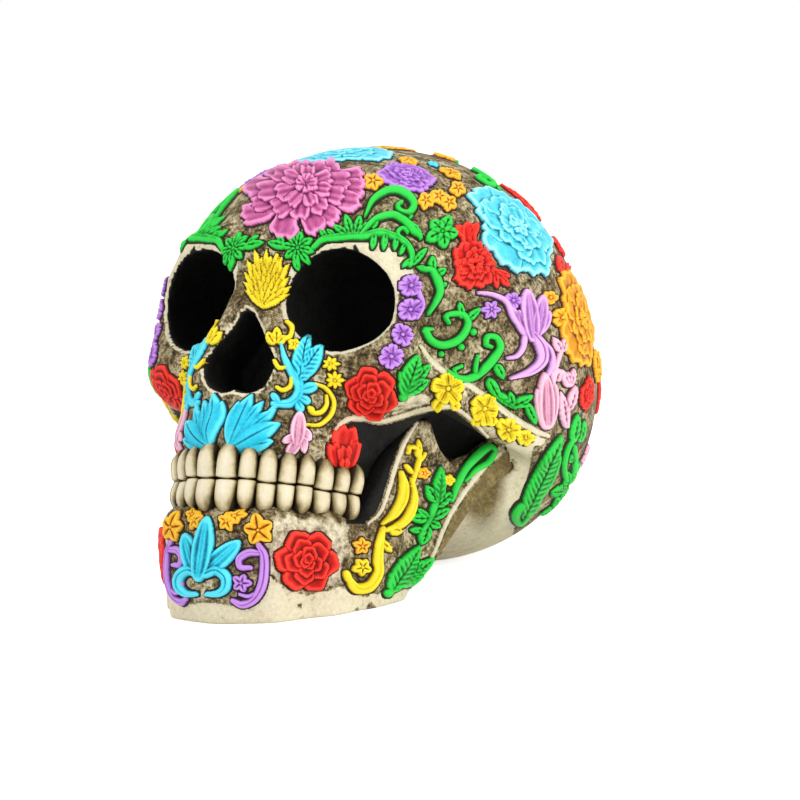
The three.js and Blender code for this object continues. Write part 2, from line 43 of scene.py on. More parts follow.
# Camera: where it stands round the part, and how the picture lies on it
TURN, LIFT, ROLL = np.radians([32.0, 6.7, 3.4])
DISTANCE = 1500.0
PX_PER_MM = 2.87
PICTURE = 800
SENSOR = 36.0
CLIP_NEAR = 0.05
CLIP_FAR = 20.0
PIVOT = np.array([0.0, -5.0, 0.0])
PIVOT_PX = np.array([355.0, 580.0])

# Posture of the face
FACE_TILT = np.radians(17.0)
FACE_Y = -5.0

# Braincase, as centre and half sizes
CASE = ((0, 21, 77), (72.4, 72, 71))
OCCIPUT = ((0, 43, 58), (66, 51, 58))
FOREHEAD = ((0, -9, 100), (50.5, 44, 44))

# Face, in the upright face frame
FOSSA = ((62, -24, 31), (30, 34, 30))
MAXILLA = ((0, -60, 50), (32, 27, 34))
GUM = ((0, -58, 36), (32, 33, 12))
THROAT = ((0, -32, 28), (26, 30, 34))
CHEEK = ((37, -57, 63), (14, 12, 12))
ORBIT = ((27, -60, 85.6), (18.6, 30, 18.6))
NASAL_BONE = ((0, -58, 99, 6), (0, -79.5, 80.5, 4))
NOSE_FLANK = ((6, -77, 83, 4.5), (14, -79, 58, 6))
ORBIT_RIM = ((8, -57, 97, 5), (22, -65, 103, 5.5), (35, -66, 102, 5), (43, -62, 93, 4.5),
             (46, -59, 79, 5), (42, -61, 68, 6), (26, -66, 66, 6), (12, -63, 78, 4.5))
NOSE_PEAR = ((0, 0, 77, 2.8), (4.5, 0, 61, 9))
NOSE_BACK = -62
CHEEK_ARCH = ((44, -52, 63, 8), (55, -38, 59, 6), (61, -20, 53.5, 5.5), (64, 10, 49.5, 5))
BLEND = dict(occiput=12, forehead=14, fossa=8, orbit=2.5, nose=1.5, nose_back=3, cheek_arch=5, jaw_wall=4,
             chin=8, ramus=6)
FACE_MASSES = ((MAXILLA, 10), (GUM, 8), (THROAT, 6), (CHEEK, 9))
FACE_RODS = ((ORBIT_RIM, 10), (NASAL_BONE, 6), (NOSE_FLANK, 6))

# Jaw
JAW_WALL = ((0, -85, 31), (16, -80, 30), (27, -66, 27), (32, -51, 21), (34, -42, 18))
JAW_RADIUS = 7.5
CHIN = ((0, -84, 12), (20, 10.5, 16))
RAMUS_OUTLINE = ((-52, 12), (-44, 34), (-36, 49), (-32, 50), (-26, 42), (-18, 37), (-8, 42), (4, 52),
                 (24, 57), (26, 54), (10, 45), (-6, 28), (-15, 12), (-23, -1), (-31, -8), (-44, -10))
RAMUS_PLANE = (43.3, 0.28, 0.12)
RAMUS_HALF = 1.5
RAMUS_ROUND = 2.0
JAW_GAP = 0.3
JAW_SPACE_EDGE = 2
FAR_AWAY = 50.0

# Teeth
BITE_HEIGHT = 22
TOOTH_ARCH = dict(back=-54.0, half_width=31.0, depth=36.0)
TOOTH_WIDTHS = (8.6, 7, 7.4, 7, 7, 8.2, 8, 7.4)
TOOTH_DEPTH = 7.4
UPPER_TOOTH = 12
LOWER_TOOTH = 11
TOOTH_FILL = 1.07
OVERBITE = 0.35
BITE_GAP = 0.03

# How finely the bone and the ornament are meshed, and how a relief is cut from its height map
CRANIUM_STEP = 1.25
JAW_STEP = 1.0
CRANIUM_SPACE = ((82, -104, -4), (82, 104, 156))
JAW_SPACE = ((66, -104, -4), (66, 36, 72))
RELIEF_PX = 0.8
# Height of the thin rim round each relief that carries its painted shadow outline
SHADOW_RIM = 0.14
SUNK = -0.7
FOOT = -1.1
LONGEST_EDGE = 2.6
OUTSIDE = -9.0
EDGE_PX = 2.4
LOWEST = 0.12
FINE_BLUR = 2
WIDE_BLUR = 5
TRACE = 0.02
OFF_BONE = 0.5

# How rays are walked to the bone: how far before it they start, in millimetres, and their steps
STRIDE = 0.9
SLOPE_REACH = 0.6
FIRST_START = 160
FIRST_STEPS = 90
SHEET_START = 22
SHEET_STEPS = 34
FLAT_START = 16
FLAT_STEPS = 30
SETTLE_STEPS = 8
LEVEL = 0.9


# Studio: lamps as place, aim, size and power, and the levels of the floor and the sky
LAMPS = dict(key=((-0.35, -0.85, 0.75), (0, -0.02, 0.07), 0.6, 5.2),
             fill=((0.95, -0.25, 0.35), (0, 0.02, 0.06), 0.6, 5.1),
             top=((0.1, 0.1, 0.95), (0, 0, 0.07), 0.7, 3.0),
             low=((0.75, 0.45, 0.12), (0.03, 0.05, 0.02), 0.4, 1.2))
FLOOR_SIZE = 6.0
FLOOR_COLOUR = (0.9, 0.9, 0.9, 1)
FLOOR_GLOW = 0.72
FLOOR_ROUGHNESS = 0.9
FLOOR_SPECULAR = 0.5
WHITE = (1, 1, 1, 1)
SKY_LEVEL = 0.38


# Distance fields of the bone

def smooth_min(a, b, k):
    h = np.clip(0.5 + 0.5 * (b - a) / k, 0, 1)
    return b * (1 - h) + a * h - k * h * (1 - h)


def smooth_max(a, b, k):
    return -smooth_min(-a, -b, k)


def ellipsoid(p, shape):
    centre, half = (np.array(v, float) for v in shape)
    q = (p - centre) / half
    length = np.linalg.norm(q, axis=-1)
    slope = np.linalg.norm(q / half, axis=-1)
    return length * (length - 1) / np.maximum(slope, 1e-9)


def rods(p, joints):
    best = None
    for joint, after in zip(joints, joints[1:]):
        a, b = np.array(joint[:3], float), np.array(after[:3], float)
        run = b - a
        t = np.clip((p - a) @ run / (run @ run), 0, 1)
        gap = np.linalg.norm(p - a - t[..., None] * run, axis=-1) - (joint[3] + t * (after[3] - joint[3]))
        best = gap if best is None else np.minimum(best, gap)
    return best


def to_outline(u, v, outline):
    best = np.full(u.shape, np.inf)
    inside = np.zeros(u.shape, bool)
    for (ax, ay), (bx, by) in zip(outline, outline[1:] + outline[:1]):
        ex, ey = bx - ax, by - ay
        t = np.clip(((u - ax) * ex + (v - ay) * ey) / (ex * ex + ey * ey), 0, 1)
        best = np.minimum(best, np.hypot(u - ax - t * ex, v - ay - t * ey))
        if ey:
            inside ^= ((ay > v) != (by > v)) & (u < ax + ex * (v - ay) / ey)
    return np.where(inside, -best, best)


def to_face(p):
    c, s = np.cos(FACE_TILT), np.sin(FACE_TILT)
    y = p[..., 1] - FACE_Y
    return np.stack([np.abs(p[..., 0]), y * c - p[..., 2] * s, y * s + p[..., 2] * c], -1)


def from_face(p):
    c, s = np.cos(FACE_TILT), np.sin(FACE_TILT)
    return np.stack([p[..., 0], p[..., 1] * c + p[..., 2] * s + FACE_Y, -p[..., 1] * s + p[..., 2] * c], -1)


def nose_field(f):
    flat = f * np.array([1, 0, 1])
    return smooth_max(rods(flat, NOSE_PEAR), f[..., 1] - NOSE_BACK, BLEND["nose_back"])


def cranium_field(p):
    f = to_face(p)
    d = smooth_min(ellipsoid(p, CASE), ellipsoid(p, OCCIPUT), BLEND["occiput"])
    d = smooth_min(d, ellipsoid(p, FOREHEAD), BLEND["forehead"])
    d = smooth_max(d, -ellipsoid(f, FOSSA), BLEND["fossa"])
    for shape, blend in FACE_MASSES:
        d = smooth_min(d, ellipsoid(f, shape), blend)
    for joints, blend in FACE_RODS:
        d = smooth_min(d, rods(f, joints), blend)
    d = smooth_max(d, -ellipsoid(f, ORBIT), BLEND["orbit"])
    d = smooth_max(d, -nose_field(f), BLEND["nose"])
    d = smooth_min(d, rods(f, CHEEK_ARCH), BLEND["cheek_arch"])
    return np.maximum(d, -p[..., 2])


def jaw_wall(p):
    best = None
    q = np.stack([np.abs(p[..., 0]), p[..., 1]], -1)
    for (ax, ay, a_top), (bx, by, b_top) in zip(JAW_WALL, JAW_WALL[1:]):
        a = np.array([ax, ay], float)
        run = np.array([bx - ax, by - ay], float)
        t = np.clip((q - a) @ run / (run @ run), 0, 1)
        above = np.maximum(p[..., 2] - (a_top + t * (b_top - a_top)), 0)
        gap = np.hypot(np.linalg.norm(q - a - t[..., None] * run, axis=-1), above) - JAW_RADIUS
        best = gap if best is None else smooth_min(best, gap, BLEND["jaw_wall"])
    return best


def ramus_offset(f):
    """How far each point lies outside the middle plane of the upright branch, along x."""
    x0, flare, lean = RAMUS_PLANE
    return f[..., 0] - x0 - flare * f[..., 1] - lean * f[..., 2]


def ramus(f):
    side = to_outline(f[..., 1], f[..., 2], RAMUS_OUTLINE)
    slope = np.sqrt(1 + RAMUS_PLANE[1]**2 + RAMUS_PLANE[2]**2)
    off = np.abs(ramus_offset(f)) / slope - RAMUS_HALF
    outer = np.hypot(np.maximum(side, 0), np.maximum(off, 0))
    return outer + np.minimum(np.maximum(side, off), 0) - RAMUS_ROUND


def jaw_field(p):
    wall = smooth_min(jaw_wall(p), ellipsoid(p, CHIN), BLEND["chin"])
    d = smooth_min(wall, ramus(to_face(p)), BLEND["ramus"])
    return np.maximum(d, -p[..., 2])


# Sampled fields, and the surfaces made from them

class Grid:
    """A field sampled on a regular grid that is the same on both sides of x = 0."""

    def __init__(self, field, space, step):
        low, high = space
        xs = (np.arange(int(high[0] / step)) + 0.5) * step
        ys = np.arange(low[1], high[1], step)
        zs = np.arange(low[2] + 0.5 * step, high[2], step)
        half = np.stack([field(np.stack(np.meshgrid(x, ys, zs, indexing="ij"), -1)[0])
                         for x in xs[:, None]])
        self.values = np.concatenate([half[::-1], half])
        self.low = np.array([-xs[-1], ys[0], zs[0]])
        self.step = step

    def points(self):
        return self.low + self.step * np.stack(np.indices(self.values.shape), -1)

    def sample(self, p):
        top = np.array(self.values.shape) - 1.001
        q = np.clip((p - self.low) / self.step, 0, top)
        i = q.astype(int)
        t = q - i
        total = 0
        for corner in np.ndindex(2, 2, 2):
            x, y, z = (t[..., k] if corner[k] else 1 - t[..., k] for k in range(3))
            total = total + x * y * z * self.values[tuple(i[..., k] + corner[k] for k in range(3))]
        return total

    def normal(self, p):
        reach = SLOPE_REACH * self.step * np.eye(3)
        g = np.stack([self.sample(p + axis) - self.sample(p - axis) for axis in reach], -1)
        return g / np.maximum(np.linalg.norm(g, axis=-1, keepdims=True), 1e-9)

    def cast(self, start, direction, steps):
        depth = np.zeros(len(start))
        for _ in range(steps):
            depth += STRIDE * self.sample(start + depth[:, None] * direction)
        return start + depth[:, None] * direction


def surface(grid):
    """Quads between grid cells, with each corner at the mean of the crossings in its cell."""
    v = grid.values
    n = np.array(v.shape)
    cells = tuple(n - 1)
    count = np.zeros(cells)
    total = np.zeros((*cells, 3))

    def corner(offset):
        return v[tuple(slice(o, o + m - 1) for o, m in zip(offset, n))]

    for offset in np.ndindex(2, 2, 2):
        for axis in range(3):
            if offset[axis]:
                continue
            after = tuple(o + (k == axis) for k, o in enumerate(offset))
            a, b = corner(offset), corner(after)
            cross = (a < 0) != (b < 0)
            t = np.where(cross, a / np.where(cross, a - b, 1), 0)
            for k in range(3):
                total[..., k] += np.where(cross, offset[k] + (t if k == axis else 0), 0)
            count += cross
    used = count > 0
    index = np.full(cells, -1)
    index[used] = np.arange(used.sum())
    points = grid.low + grid.step * (np.argwhere(used) + total[used] / count[used][:, None])
    inside = v < 0
    quads = []
    for axis in range(3):
        second, third = (axis + 1) % 3, (axis + 2) % 3
        before = tuple(slice(0, m - 1) if k == axis else slice(None) for k, m in enumerate(n))
        behind = tuple(slice(1, m) if k == axis else slice(None) for k, m in enumerate(n))
        edge = np.argwhere(inside[before] != inside[behind])
        clear = [(edge[:, k] > 0) & (edge[:, k] < n[k] - 1) for k in (second, third)]
        edge = edge[clear[0] & clear[1]]
        facing = inside[before][tuple(edge.T)]

        def at(back_second, back_third):
            cell = edge.copy()
            cell[:, second] -= back_second
            cell[:, third] -= back_third
            return index[tuple(cell.T)]

        quad = np.stack([at(1, 1), at(0, 1), at(0, 0), at(1, 0)], 1)
        quad[~facing] = quad[~facing][:, ::-1]
        quads.append(quad)
    return points, np.concatenate(quads)


# Camera frame, and rays through the picture

def camera_axes():
    right = np.array([np.cos(TURN), np.sin(TURN), 0])
    back = np.array([np.sin(TURN) * np.cos(LIFT), -np.cos(TURN) * np.cos(LIFT), np.sin(LIFT)])
    up = np.cross(back, right)
    return (right * np.cos(ROLL) - up * np.sin(ROLL), right * np.sin(ROLL) + up * np.cos(ROLL), back)


RIGHT, UP, BACK = camera_axes()
CENTRE_PX = np.array([PICTURE / 2, PICTURE / 2])
TARGET = (RIGHT * (CENTRE_PX[0] - PIVOT_PX[0]) - UP * (CENTRE_PX[1] - PIVOT_PX[1])) / PX_PER_MM + PIVOT
EYE = TARGET + BACK * DISTANCE


class PictureSheet:
    """Ornament drawn in picture pixels and laid on the bone along the camera's rays."""

    def __init__(self, grid, middle):
        self.grid = grid
        direction = self.directions(np.array([middle]))
        hit = grid.cast(EYE + direction * (DISTANCE - FIRST_START), direction, FIRST_STEPS)
        self.depth = np.linalg.norm(hit[0] - EYE) - SHEET_START

    def directions(self, px):
        offset = (px - CENTRE_PX) / PX_PER_MM
        d = offset[:, :1] * RIGHT - offset[:, 1:] * UP - DISTANCE * BACK
        return d / np.linalg.norm(d, axis=1, keepdims=True)

    def lay(self, px):
        direction = self.directions(px)
        return self.grid.cast(EYE + direction * self.depth, direction, SHEET_STEPS)


class TangentSheet:
    """Ornament drawn flat on the bone round an anchor, in the same pixel units."""

    def __init__(self, grid, anchor, turn=0.0):
        self.grid = grid
        anchor = np.array([anchor], float)
        for _ in range(SETTLE_STEPS):
            anchor = anchor - grid.normal(anchor) * grid.sample(anchor)[:, None]
        self.anchor = anchor[0]
        self.out = grid.normal(anchor)[0]
        up = np.array([0, 1.0, 0]) if abs(self.out[2]) > LEVEL else np.array([0, 0, 1.0])
        up -= self.out * (up @ self.out)
        up /= np.linalg.norm(up)
        across = np.cross(up, self.out)
        a = np.radians(turn)
        self.right = across * np.cos(a) + up * np.sin(a)
        self.up = up * np.cos(a) - across * np.sin(a)

    def lay(self, px):
        flat = px / PX_PER_MM
        start = self.anchor + self.out * FLAT_START + flat[:, :1] * self.right - flat[:, 1:] * self.up
        return self.grid.cast(start, np.broadcast_to(-self.out, start.shape), FLAT_STEPS)


# Stamps: each gives the height of one carved shape over the bone, in millimetres

def rounded(edge):
    edge = np.clip(edge, 0, 1)
    return np.sqrt(edge * (2 - edge))


# How fast each kind of petal swells from its base and falls to its tip
PETAL_SHAPES = dict(cup=(0.6, 0.26), leaf=(0.5, 0.75), lobe=(0.45, 0.4), spear=(0.7, 0.9), tooth=(0.5, 0.7),
                    star=(0.45, 0.7), blade=(0.5, 0.6), frond=(0.42, 0.5))
PETAL_START = 0.12
PETAL_END = 1e-3


def petal_axes(x, y, base, tip):
    """Place along a petal, from 0 to 1, place across it, and its length."""
    length = np.hypot(*(tip - base))
    axis = (tip - base) / length
    dx, dy = x - base[0], y - base[1]
    return (dx * axis[0] + dy * axis[1]) / length, dy * axis[0] - dx * axis[1], length


def petal_width(s, half, kind):
    swell, fall = PETAL_SHAPES[kind]
    peak = swell / (swell + fall)
    return half * (s / peak) ** swell * ((1 - s) / (1 - peak)) ** fall


def bell(x, width):
    return np.exp(-((x / width) ** 2))


def petal(base, tip, half, rise, kind, notches=0):
    base, tip = np.array(base, float), np.array(tip, float)

    def height(x, y):
        along, across, length = petal_axes(x, y, base, tip)
        s = np.clip(along, PETAL_END, 1 - PETAL_END)
        width = petal_width(s, half, kind)
        if notches:
            width = width * (1.08 - 0.42 * ((s * notches) % 1.0))
        r = np.abs(across) / np.maximum(width, 1e-6)
        edge = rounded((width - np.abs(across)) / EDGE_PX)
        if kind == "cup":
            body = 0.60 + 0.30 * r**2 + 0.16 * s - 0.10 * bell(across, 0.9)
            body += 0.05 * np.cos(2.4 * across + 3 * s)
        elif kind == "star":
            body = 0.74 + 0.26 * r - 0.24 * bell(across, 0.8)
        elif kind in ("blade", "frond"):
            body = 0.84 + 0.10 * np.cos(2.5 * np.pi * r) - 0.14 * bell(across, 0.9)
        elif kind in ("leaf", "tooth"):
            body = 1.0 - 0.20 * r - 0.36 * bell(across, 0.85)
            body += 0.09 * np.cos(2 * np.pi * (0.17 * length * s - 0.16 * np.abs(across)))
        else:
            body = 0.72 + 0.28 * (1 - r**2) - 0.16 * bell(across, 0.7)
        inside = (along > 0) & (along < 1) & (r < 1)
        return np.where(inside, rise * edge * body, OUTSIDE)

    reach = half * 1.1 + 1.5
    return np.minimum(base, tip) - reach, np.maximum(base, tip) + reach, height


def petals(kind, *rows):
    """Petals of one kind, from rows of base, tip, half width and height."""
    return [petal(row[:2], row[2:4], *row[4:], kind) for row in rows]


def smooth_line(points, parts=9):
    p = np.array(points, float)
    if len(p) < 3:
        return p, np.arange(len(p), dtype=float)
    ends = np.vstack([2 * p[0] - p[1], p, 2 * p[-1] - p[-2]])
    line, place = [], []
    for i in range(len(p) - 1):
        a, b, c, d = ends[i:i + 4]
        for t in np.arange(parts) / parts:
            line.append(0.5 * (2 * b + (c - a) * t + (2 * a - 5 * b + 4 * c - d) * t**2
                               + (3 * b - a - 3 * c + d) * t**3))
            place.append(i + t)
    return np.array(line + [p[-1]]), np.array(place + [len(p) - 1.0])


def ribbon(points, widths, rise=1.5, groove=0.0):
    line, place = smooth_line(points)
    half = np.interp(place, np.linspace(0, len(points) - 1, len(widths)), widths)

    def height(x, y):
        best = np.full(x.shape, -np.inf)
        depth = np.zeros(x.shape)
        for a, b, wa, wb in zip(line, line[1:], half, half[1:]):
            run = b - a
            t = np.clip(((x - a[0]) * run[0] + (y - a[1]) * run[1]) / max(run @ run, 1e-9), 0, 1)
            away = np.hypot(x - a[0] - t * run[0], y - a[1] - t * run[1])
            width = wa + t * (wb - wa)
            inner = (width - away) / width
            better = inner > best
            best = np.where(better, inner, best)
            depth = np.where(better, away, depth)
        body = rise * rounded(best) * (1 - groove * bell(depth, 0.8))
        return np.where(best > 0, body, OUTSIDE)

    reach = max(widths) + 1.5
    return line.min(0) - reach, line.max(0) + reach, height


def button(centre, radius, rise, pit=0.0):
    centre = np.array(centre, float)

    def height(x, y):
        r = np.hypot(x - centre[0], y - centre[1]) / radius
        body = rise * np.sqrt(np.clip(1 - r**2, 0, 1)) * (1 - pit * bell(r, 0.45))
        return np.where(r < 1, np.maximum(body, 0.2), OUTSIDE)

    return centre - radius - 1, centre + radius + 1, height


def squash_matrix(ratio, turn):
    c, s = np.cos(np.radians(turn)), np.sin(np.radians(turn))
    spin = np.array([[c, -s], [s, c]])
    return spin @ np.diag([1.0, ratio]) @ spin.T


def flower(centre, radius, count, phase, rise, ratio=1.0, turn=0.0, fill=1.1, kind="cup", heart=0.2):
    """A ring of petals round a button, drawn in along one direction where it is seen at a slant."""
    squash = squash_matrix(ratio, turn)
    centre = np.array(centre, float)
    stamps = []
    for k in range(count):
        a = np.radians(phase + 360.0 * k / count)
        out = np.array([np.cos(a), np.sin(a)])
        side = np.array([-np.sin(a), np.cos(a)])
        reach = radius * (1 + 0.07 * np.cos(2.3 * k + phase))
        half = fill * 0.62 * radius * np.sin(np.pi / count) * np.linalg.norm(squash @ side)
        base = centre + squash @ (out * reach * PETAL_START)
        stamps.append(petal(base, centre + squash @ (out * reach), half, rise, kind))
    stamps.append(button(centre, heart * radius * np.sqrt(ratio), rise * 1.12, 0.35))
    return stamps


def flowers(kind, fill, heart, *rows):
    """Flowers of one kind, from rows of middle, radius, petals, phase, height, squash and its turn."""
    return [flower(row[:2], *row[2:], fill, kind, heart) for row in rows]


# Rings of a rose: how far out its petals sit, their size, how many, how high, and their twist in degrees
ROSE_RINGS = ((0.60, 0.43, 6, 0.66, 0), (0.42, 0.36, 5, 0.82, 28), (0.24, 0.29, 4, 0.95, 10),
    (0.10, 0.20, 3, 1.08, 40))


def rose(centre, radius, phase=0.0, rise=2.4):
    """A full rose: rings of broad, wavy, cupped petals, each lying over the ones before it."""
    centre = np.array(centre, float)
    folds = []
    for reach, size, count, lift, twist in ROSE_RINGS:
        for k in range(count):
            a = np.radians(phase + twist + 360.0 * k / count)
            middle = centre + radius * reach * np.array([np.cos(a), np.sin(a)])
            folds.append((middle, radius * size, rise * lift, 3 * k + twist))

    def height(x, y):
        h = np.full(x.shape, OUTSIDE)
        for middle, size, lift, wave in folds:
            dx, dy = x - middle[0], y - middle[1]
            limit = size * (1 + 0.06 * np.sin(5 * np.arctan2(dy, dx) + wave))
            r = np.hypot(dx, dy) / limit
            edge = 0.42 + 0.58 * rounded((1 - r) * limit / EDGE_PX)
            h = np.where(r < 1, lift * edge * (0.66 + 0.34 * r**2), h)
        return h

    return [(centre - 1.1 * radius - 1, centre + 1.1 * radius + 1, height)]


def layered(tongues, kind="cup"):
    """Frilled petals as base, tip, half width and height, each lying over the ones before it."""
    tongues = [(np.array(base, float), np.array(tip, float), *rest) for base, tip, *rest in tongues]

    def height(x, y):
        h = np.full(x.shape, OUTSIDE)
        for k, (base, tip, half, lift) in enumerate(tongues):
            along, across, length = petal_axes(x, y, base, tip)
            turn = np.pi * across / half
            along = along + 0.05 * np.sin(2.3 * turn + 2 * k) + 0.02 * np.sin(5 * turn + k)
            s = np.clip(along, PETAL_END, 1 - PETAL_END)
            width = petal_width(s, half, kind) * (1 + 0.06 * np.sin(11 * s + 1.7 * k))
            r = np.abs(across) / width
            edge = 0.38 + 0.62 * rounded(np.minimum(width - np.abs(across), (1 - s) * length) / EDGE_PX)
            body = 0.60 + 0.22 * s + 0.20 * r**2 + 0.04 * np.cos(3 * turn + k)
            h = np.where((along > 0) & (along < 1) & (r < 1), lift * edge * body, h)
        return h

    low = np.min([np.minimum(t[0], t[1]) - t[2] for t in tongues], axis=0)
    high = np.max([np.maximum(t[0], t[1]) + t[2] for t in tongues], axis=0)
    return [(low - 3, high + 3, height)]


def tongue_rows(lift, *rows):
    """Frilled petals of one height, from rows of base, tip and half width."""
    return [(row[:2], row[2:4], row[4], lift) for row in rows]


def ringed(centre, rings, ratio=1.0, turn=0.0):
    """A bloom of frilled petals, from rings of radius, petal count, height and twist."""
    centre = np.array(centre, float)
    squash = squash_matrix(ratio, turn)
    tongues = []
    for radius, count, lift, twist in rings:
        for k in range(count):
            a = np.radians(twist + 360.0 * k / count + 9 * np.sin(3.1 * k + twist))
            out = squash @ np.array([np.cos(a), np.sin(a)])
            side = np.linalg.norm(squash @ np.array([-np.sin(a), np.cos(a)]))
            reach = radius * (1 + 0.13 * np.cos(2.3 * k + twist))
            half = 1.1 * radius * np.sin(np.pi / count) * side
            tongues.append((centre + 0.2 * reach * out, centre + reach * out, half, lift))
    return layered(tongues)


def blurred(h, reach):
    """Mean of a height map over a square, by running sums."""
    for axis in (0, 1):
        pad = [(reach + 1, reach) if k == axis else (0, 0) for k in (0, 1)]
        sums = np.cumsum(np.pad(h, pad, mode="edge"), axis=axis)
        n = h.shape[axis]
        top = np.take(sums, np.arange(2 * reach + 1, 2 * reach + 1 + n), axis=axis)
        h = (top - np.take(sums, np.arange(n), axis=axis)) / (2 * reach + 1)
    return h


def extent(stamps):
    return np.min([s[0] for s in stamps], axis=0), np.max([s[1] for s in stamps], axis=0)


def corners(a):
    """The four corner values of every cell of a grid, one row for each cell."""
    return np.stack([a[:-1, :-1], a[1:, :-1], a[1:, 1:], a[:-1, 1:]], -1).reshape(-1, 4)


def carve(sheet, stamps):
    """One closed relief on the bone: points, faces and the paint's tone at each point, which carries
    painted highlight and painted shade.
    """
    low, high = extent(stamps)
    margin = 4 * RELIEF_PX
    xs = np.arange(low[0] - margin, high[0] + margin, RELIEF_PX)
    ys = np.arange(low[1] - margin, high[1] + margin, RELIEF_PX)
    x, y = np.meshgrid(xs, ys)
    h = np.full(x.shape, OUTSIDE)
    for s_low, s_high, height in stamps:
        cols = slice(*np.searchsorted(xs, (s_low[0], s_high[0])))
        rows = slice(*np.searchsorted(ys, (s_low[1], s_high[1])))
        h[rows, cols] = np.maximum(h[rows, cols], height(x[rows, cols], y[rows, cols]))
    shape = h > LOWEST
    h = np.where(shape, h, 0.0)
    # Tone above the local mean, on crests and edges, is lighter: dry-brushed paint and painted highlight.
    # Below it, in grooves, it is darker: dark wash and painted shade.
    tone = 0.5 + 0.9 * (h - blurred(h, WIDE_BLUR)) + 0.8 * (h - blurred(h, FINE_BLUR))
    tone = np.where(shape, np.clip(tone, 0.1, 1), 0.0)
    # Cells just outside the shape form a thin rim just above the bone at tone zero: a painted shadow
    # outline round the relief.
    shown = blurred(shape.astype(float), FINE_BLUR) > TRACE
    near = blurred(shown.astype(float), FINE_BLUR) > TRACE
    h = np.where(shape, h, np.where(shown, SHADOW_RIM, SUNK))
    hits = sheet.lay(np.stack([x[near], y[near]], -1))
    out = sheet.grid.normal(hits)
    place = np.full(x.shape, -1)
    place[near] = np.arange(len(hits))
    quads = corners(place)
    quads = quads[corners(shown).any(1) & (quads >= 0).all(1)]
    on_bone = np.abs(sheet.grid.sample(hits)) < OFF_BONE
    edges = [np.linalg.norm(hits[quads[:, k]] - hits[quads[:, k - 1]], axis=1) for k in range(4)]
    quads = quads[(np.max(edges, axis=0) < LONGEST_EDGE) & on_bone[quads].all(1)]
    n = len(hits)
    sides = np.concatenate([quads[:, [k, (k + 1) % 4]] for k in range(4)])
    keys = sides[:, 0] * n + sides[:, 1]
    rim = sides[~np.isin(keys, sides[:, 1] * n + sides[:, 0])]
    walls = np.stack([rim[:, 1], rim[:, 0], rim[:, 0] + n, rim[:, 1] + n], 1)
    faces = np.concatenate([quads, quads[:, ::-1] + n, walls])
    points = np.concatenate([hits + out * h[near][:, None], hits + out * FOOT])
    tones = np.concatenate([tone[near], np.zeros(n)])
    first = quads[0]
    if np.cross(hits[first[1]] - hits[first[0]], hits[first[2]] - hits[first[1]]) @ out[first[0]] < 0:
        faces = faces[:, ::-1]
    kept, faces = np.unique(faces, return_inverse=True)
    return points[kept], faces.reshape(-1, 4), tones[kept]


def joined(parts):
    points, faces, tones, start = [], [], [], 0
    for p, f, t in parts:
        points.append(p)
        faces.append(f + start)
        tones.append(t)
        start += len(p)
    return np.concatenate(points), np.concatenate(faces), np.concatenate(tones)


def mirrored(part):
    points, faces, tones = part
    return points * np.array([-1, 1, 1]), faces[:, ::-1], tones


# Objects

def make_object(name, points, faces, attributes, material):
    mesh = bpy.data.meshes.new(name)
    mesh.vertices.add(len(points))
    mesh.vertices.foreach_set("co", (points * MM).astype(np.float32).ravel())
    mesh.loops.add(faces.size)
    mesh.loops.foreach_set("vertex_index", faces.astype(np.int32).ravel())
    mesh.polygons.add(len(faces))
    mesh.polygons.foreach_set("loop_start", (np.arange(len(faces)) * faces.shape[1]).astype(np.int32))
    mesh.polygons.foreach_set("use_smooth", np.ones(len(faces), bool))
    mesh.update(calc_edges=True)
    for key, values in attributes.items():
        layer = mesh.attributes.new(key, "FLOAT", "POINT")
        layer.data.foreach_set("value", values.astype(np.float32))
    mesh.materials.append(material)
    obj = bpy.data.objects.new(name, mesh)
    bpy.context.scene.collection.objects.link(obj)
    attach(obj, "root")
    return obj


# Where the bone is painted, in picture pixels
CHEEK_HOLLOW = ((343, 424), (352, 417), (366, 421), (380, 423), (400, 418.6), (418, 412.5), (447, 408),
    (456.5, 410), (472, 421), (487, 436), (494, 445.4), (479.5, 447), (465.7, 455), (446, 460),
    (438, 458), (430.5, 444), (427.5, 429), (420, 423), (413.7, 430), (403, 447), (395, 468), (389, 489),
    (380, 514), (368, 525), (357, 520), (352, 500), (354, 470), (350, 445))
CHEEK_TAN = ((389, 404), (404, 396), (424, 392), (434, 400), (430, 410), (410, 415), (392, 416))
ARCH_REAR = ((515, 431), (530, 428), (546, 433), (544, 445), (528, 446), (514, 441))
SKULL_BASE = ((497, 448), (520, 440), (534, 444), (529, 470), (524, 490), (516, 520), (512, 540),
    (470, 556), (440, 562), (445, 535), (465, 500), (480, 475))
# Middle and half size, in pixels, of the brown painted shade on the rounded base behind the jaw
BASE_PAINTED_SHADE = ((481, 480), (24, 47))
# A small black spot on the upper orbit rim: painted shade of a pit that is not carved
ORBIT_PIT_SHADE = (((356, 247), 2.2),)
ARCH_TOP = ((420, 346), (431, 361), (444, 372), (466, 384), (487, 398), (510, 416), (533, 430), (548, 436))
CHEEK_EDGE = ((331, 437), (338, 427), (348, 419), (363, 418), (381, 421), (401, 416), (420, 410),
    (446, 406), (459, 410), (473, 421), (488, 436))
RAMUS_REAR = ((500, 453), (487, 464), (475, 478), (463, 494), (452, 511), (444, 527), (437, 545),
    (428, 566))
RAMUS_FRONT = ((417, 423), (411, 432), (403, 446), (395, 467), (389, 488), (380, 512), (368, 524))
ARCH_FACE = ((421, 350), (444, 376), (487, 402), (533, 434), (546, 440), (515, 441), (494, 436),
    (472, 419), (447, 405), (434, 400), (428, 378))
RAMUS_SHADE = RAMUS_FRONT + ((346, 524), (346, 470), (356, 430), (390, 422))
RAMUS_BEHIND = RAMUS_REAR + ((470, 570), (520, 480), (520, 445))
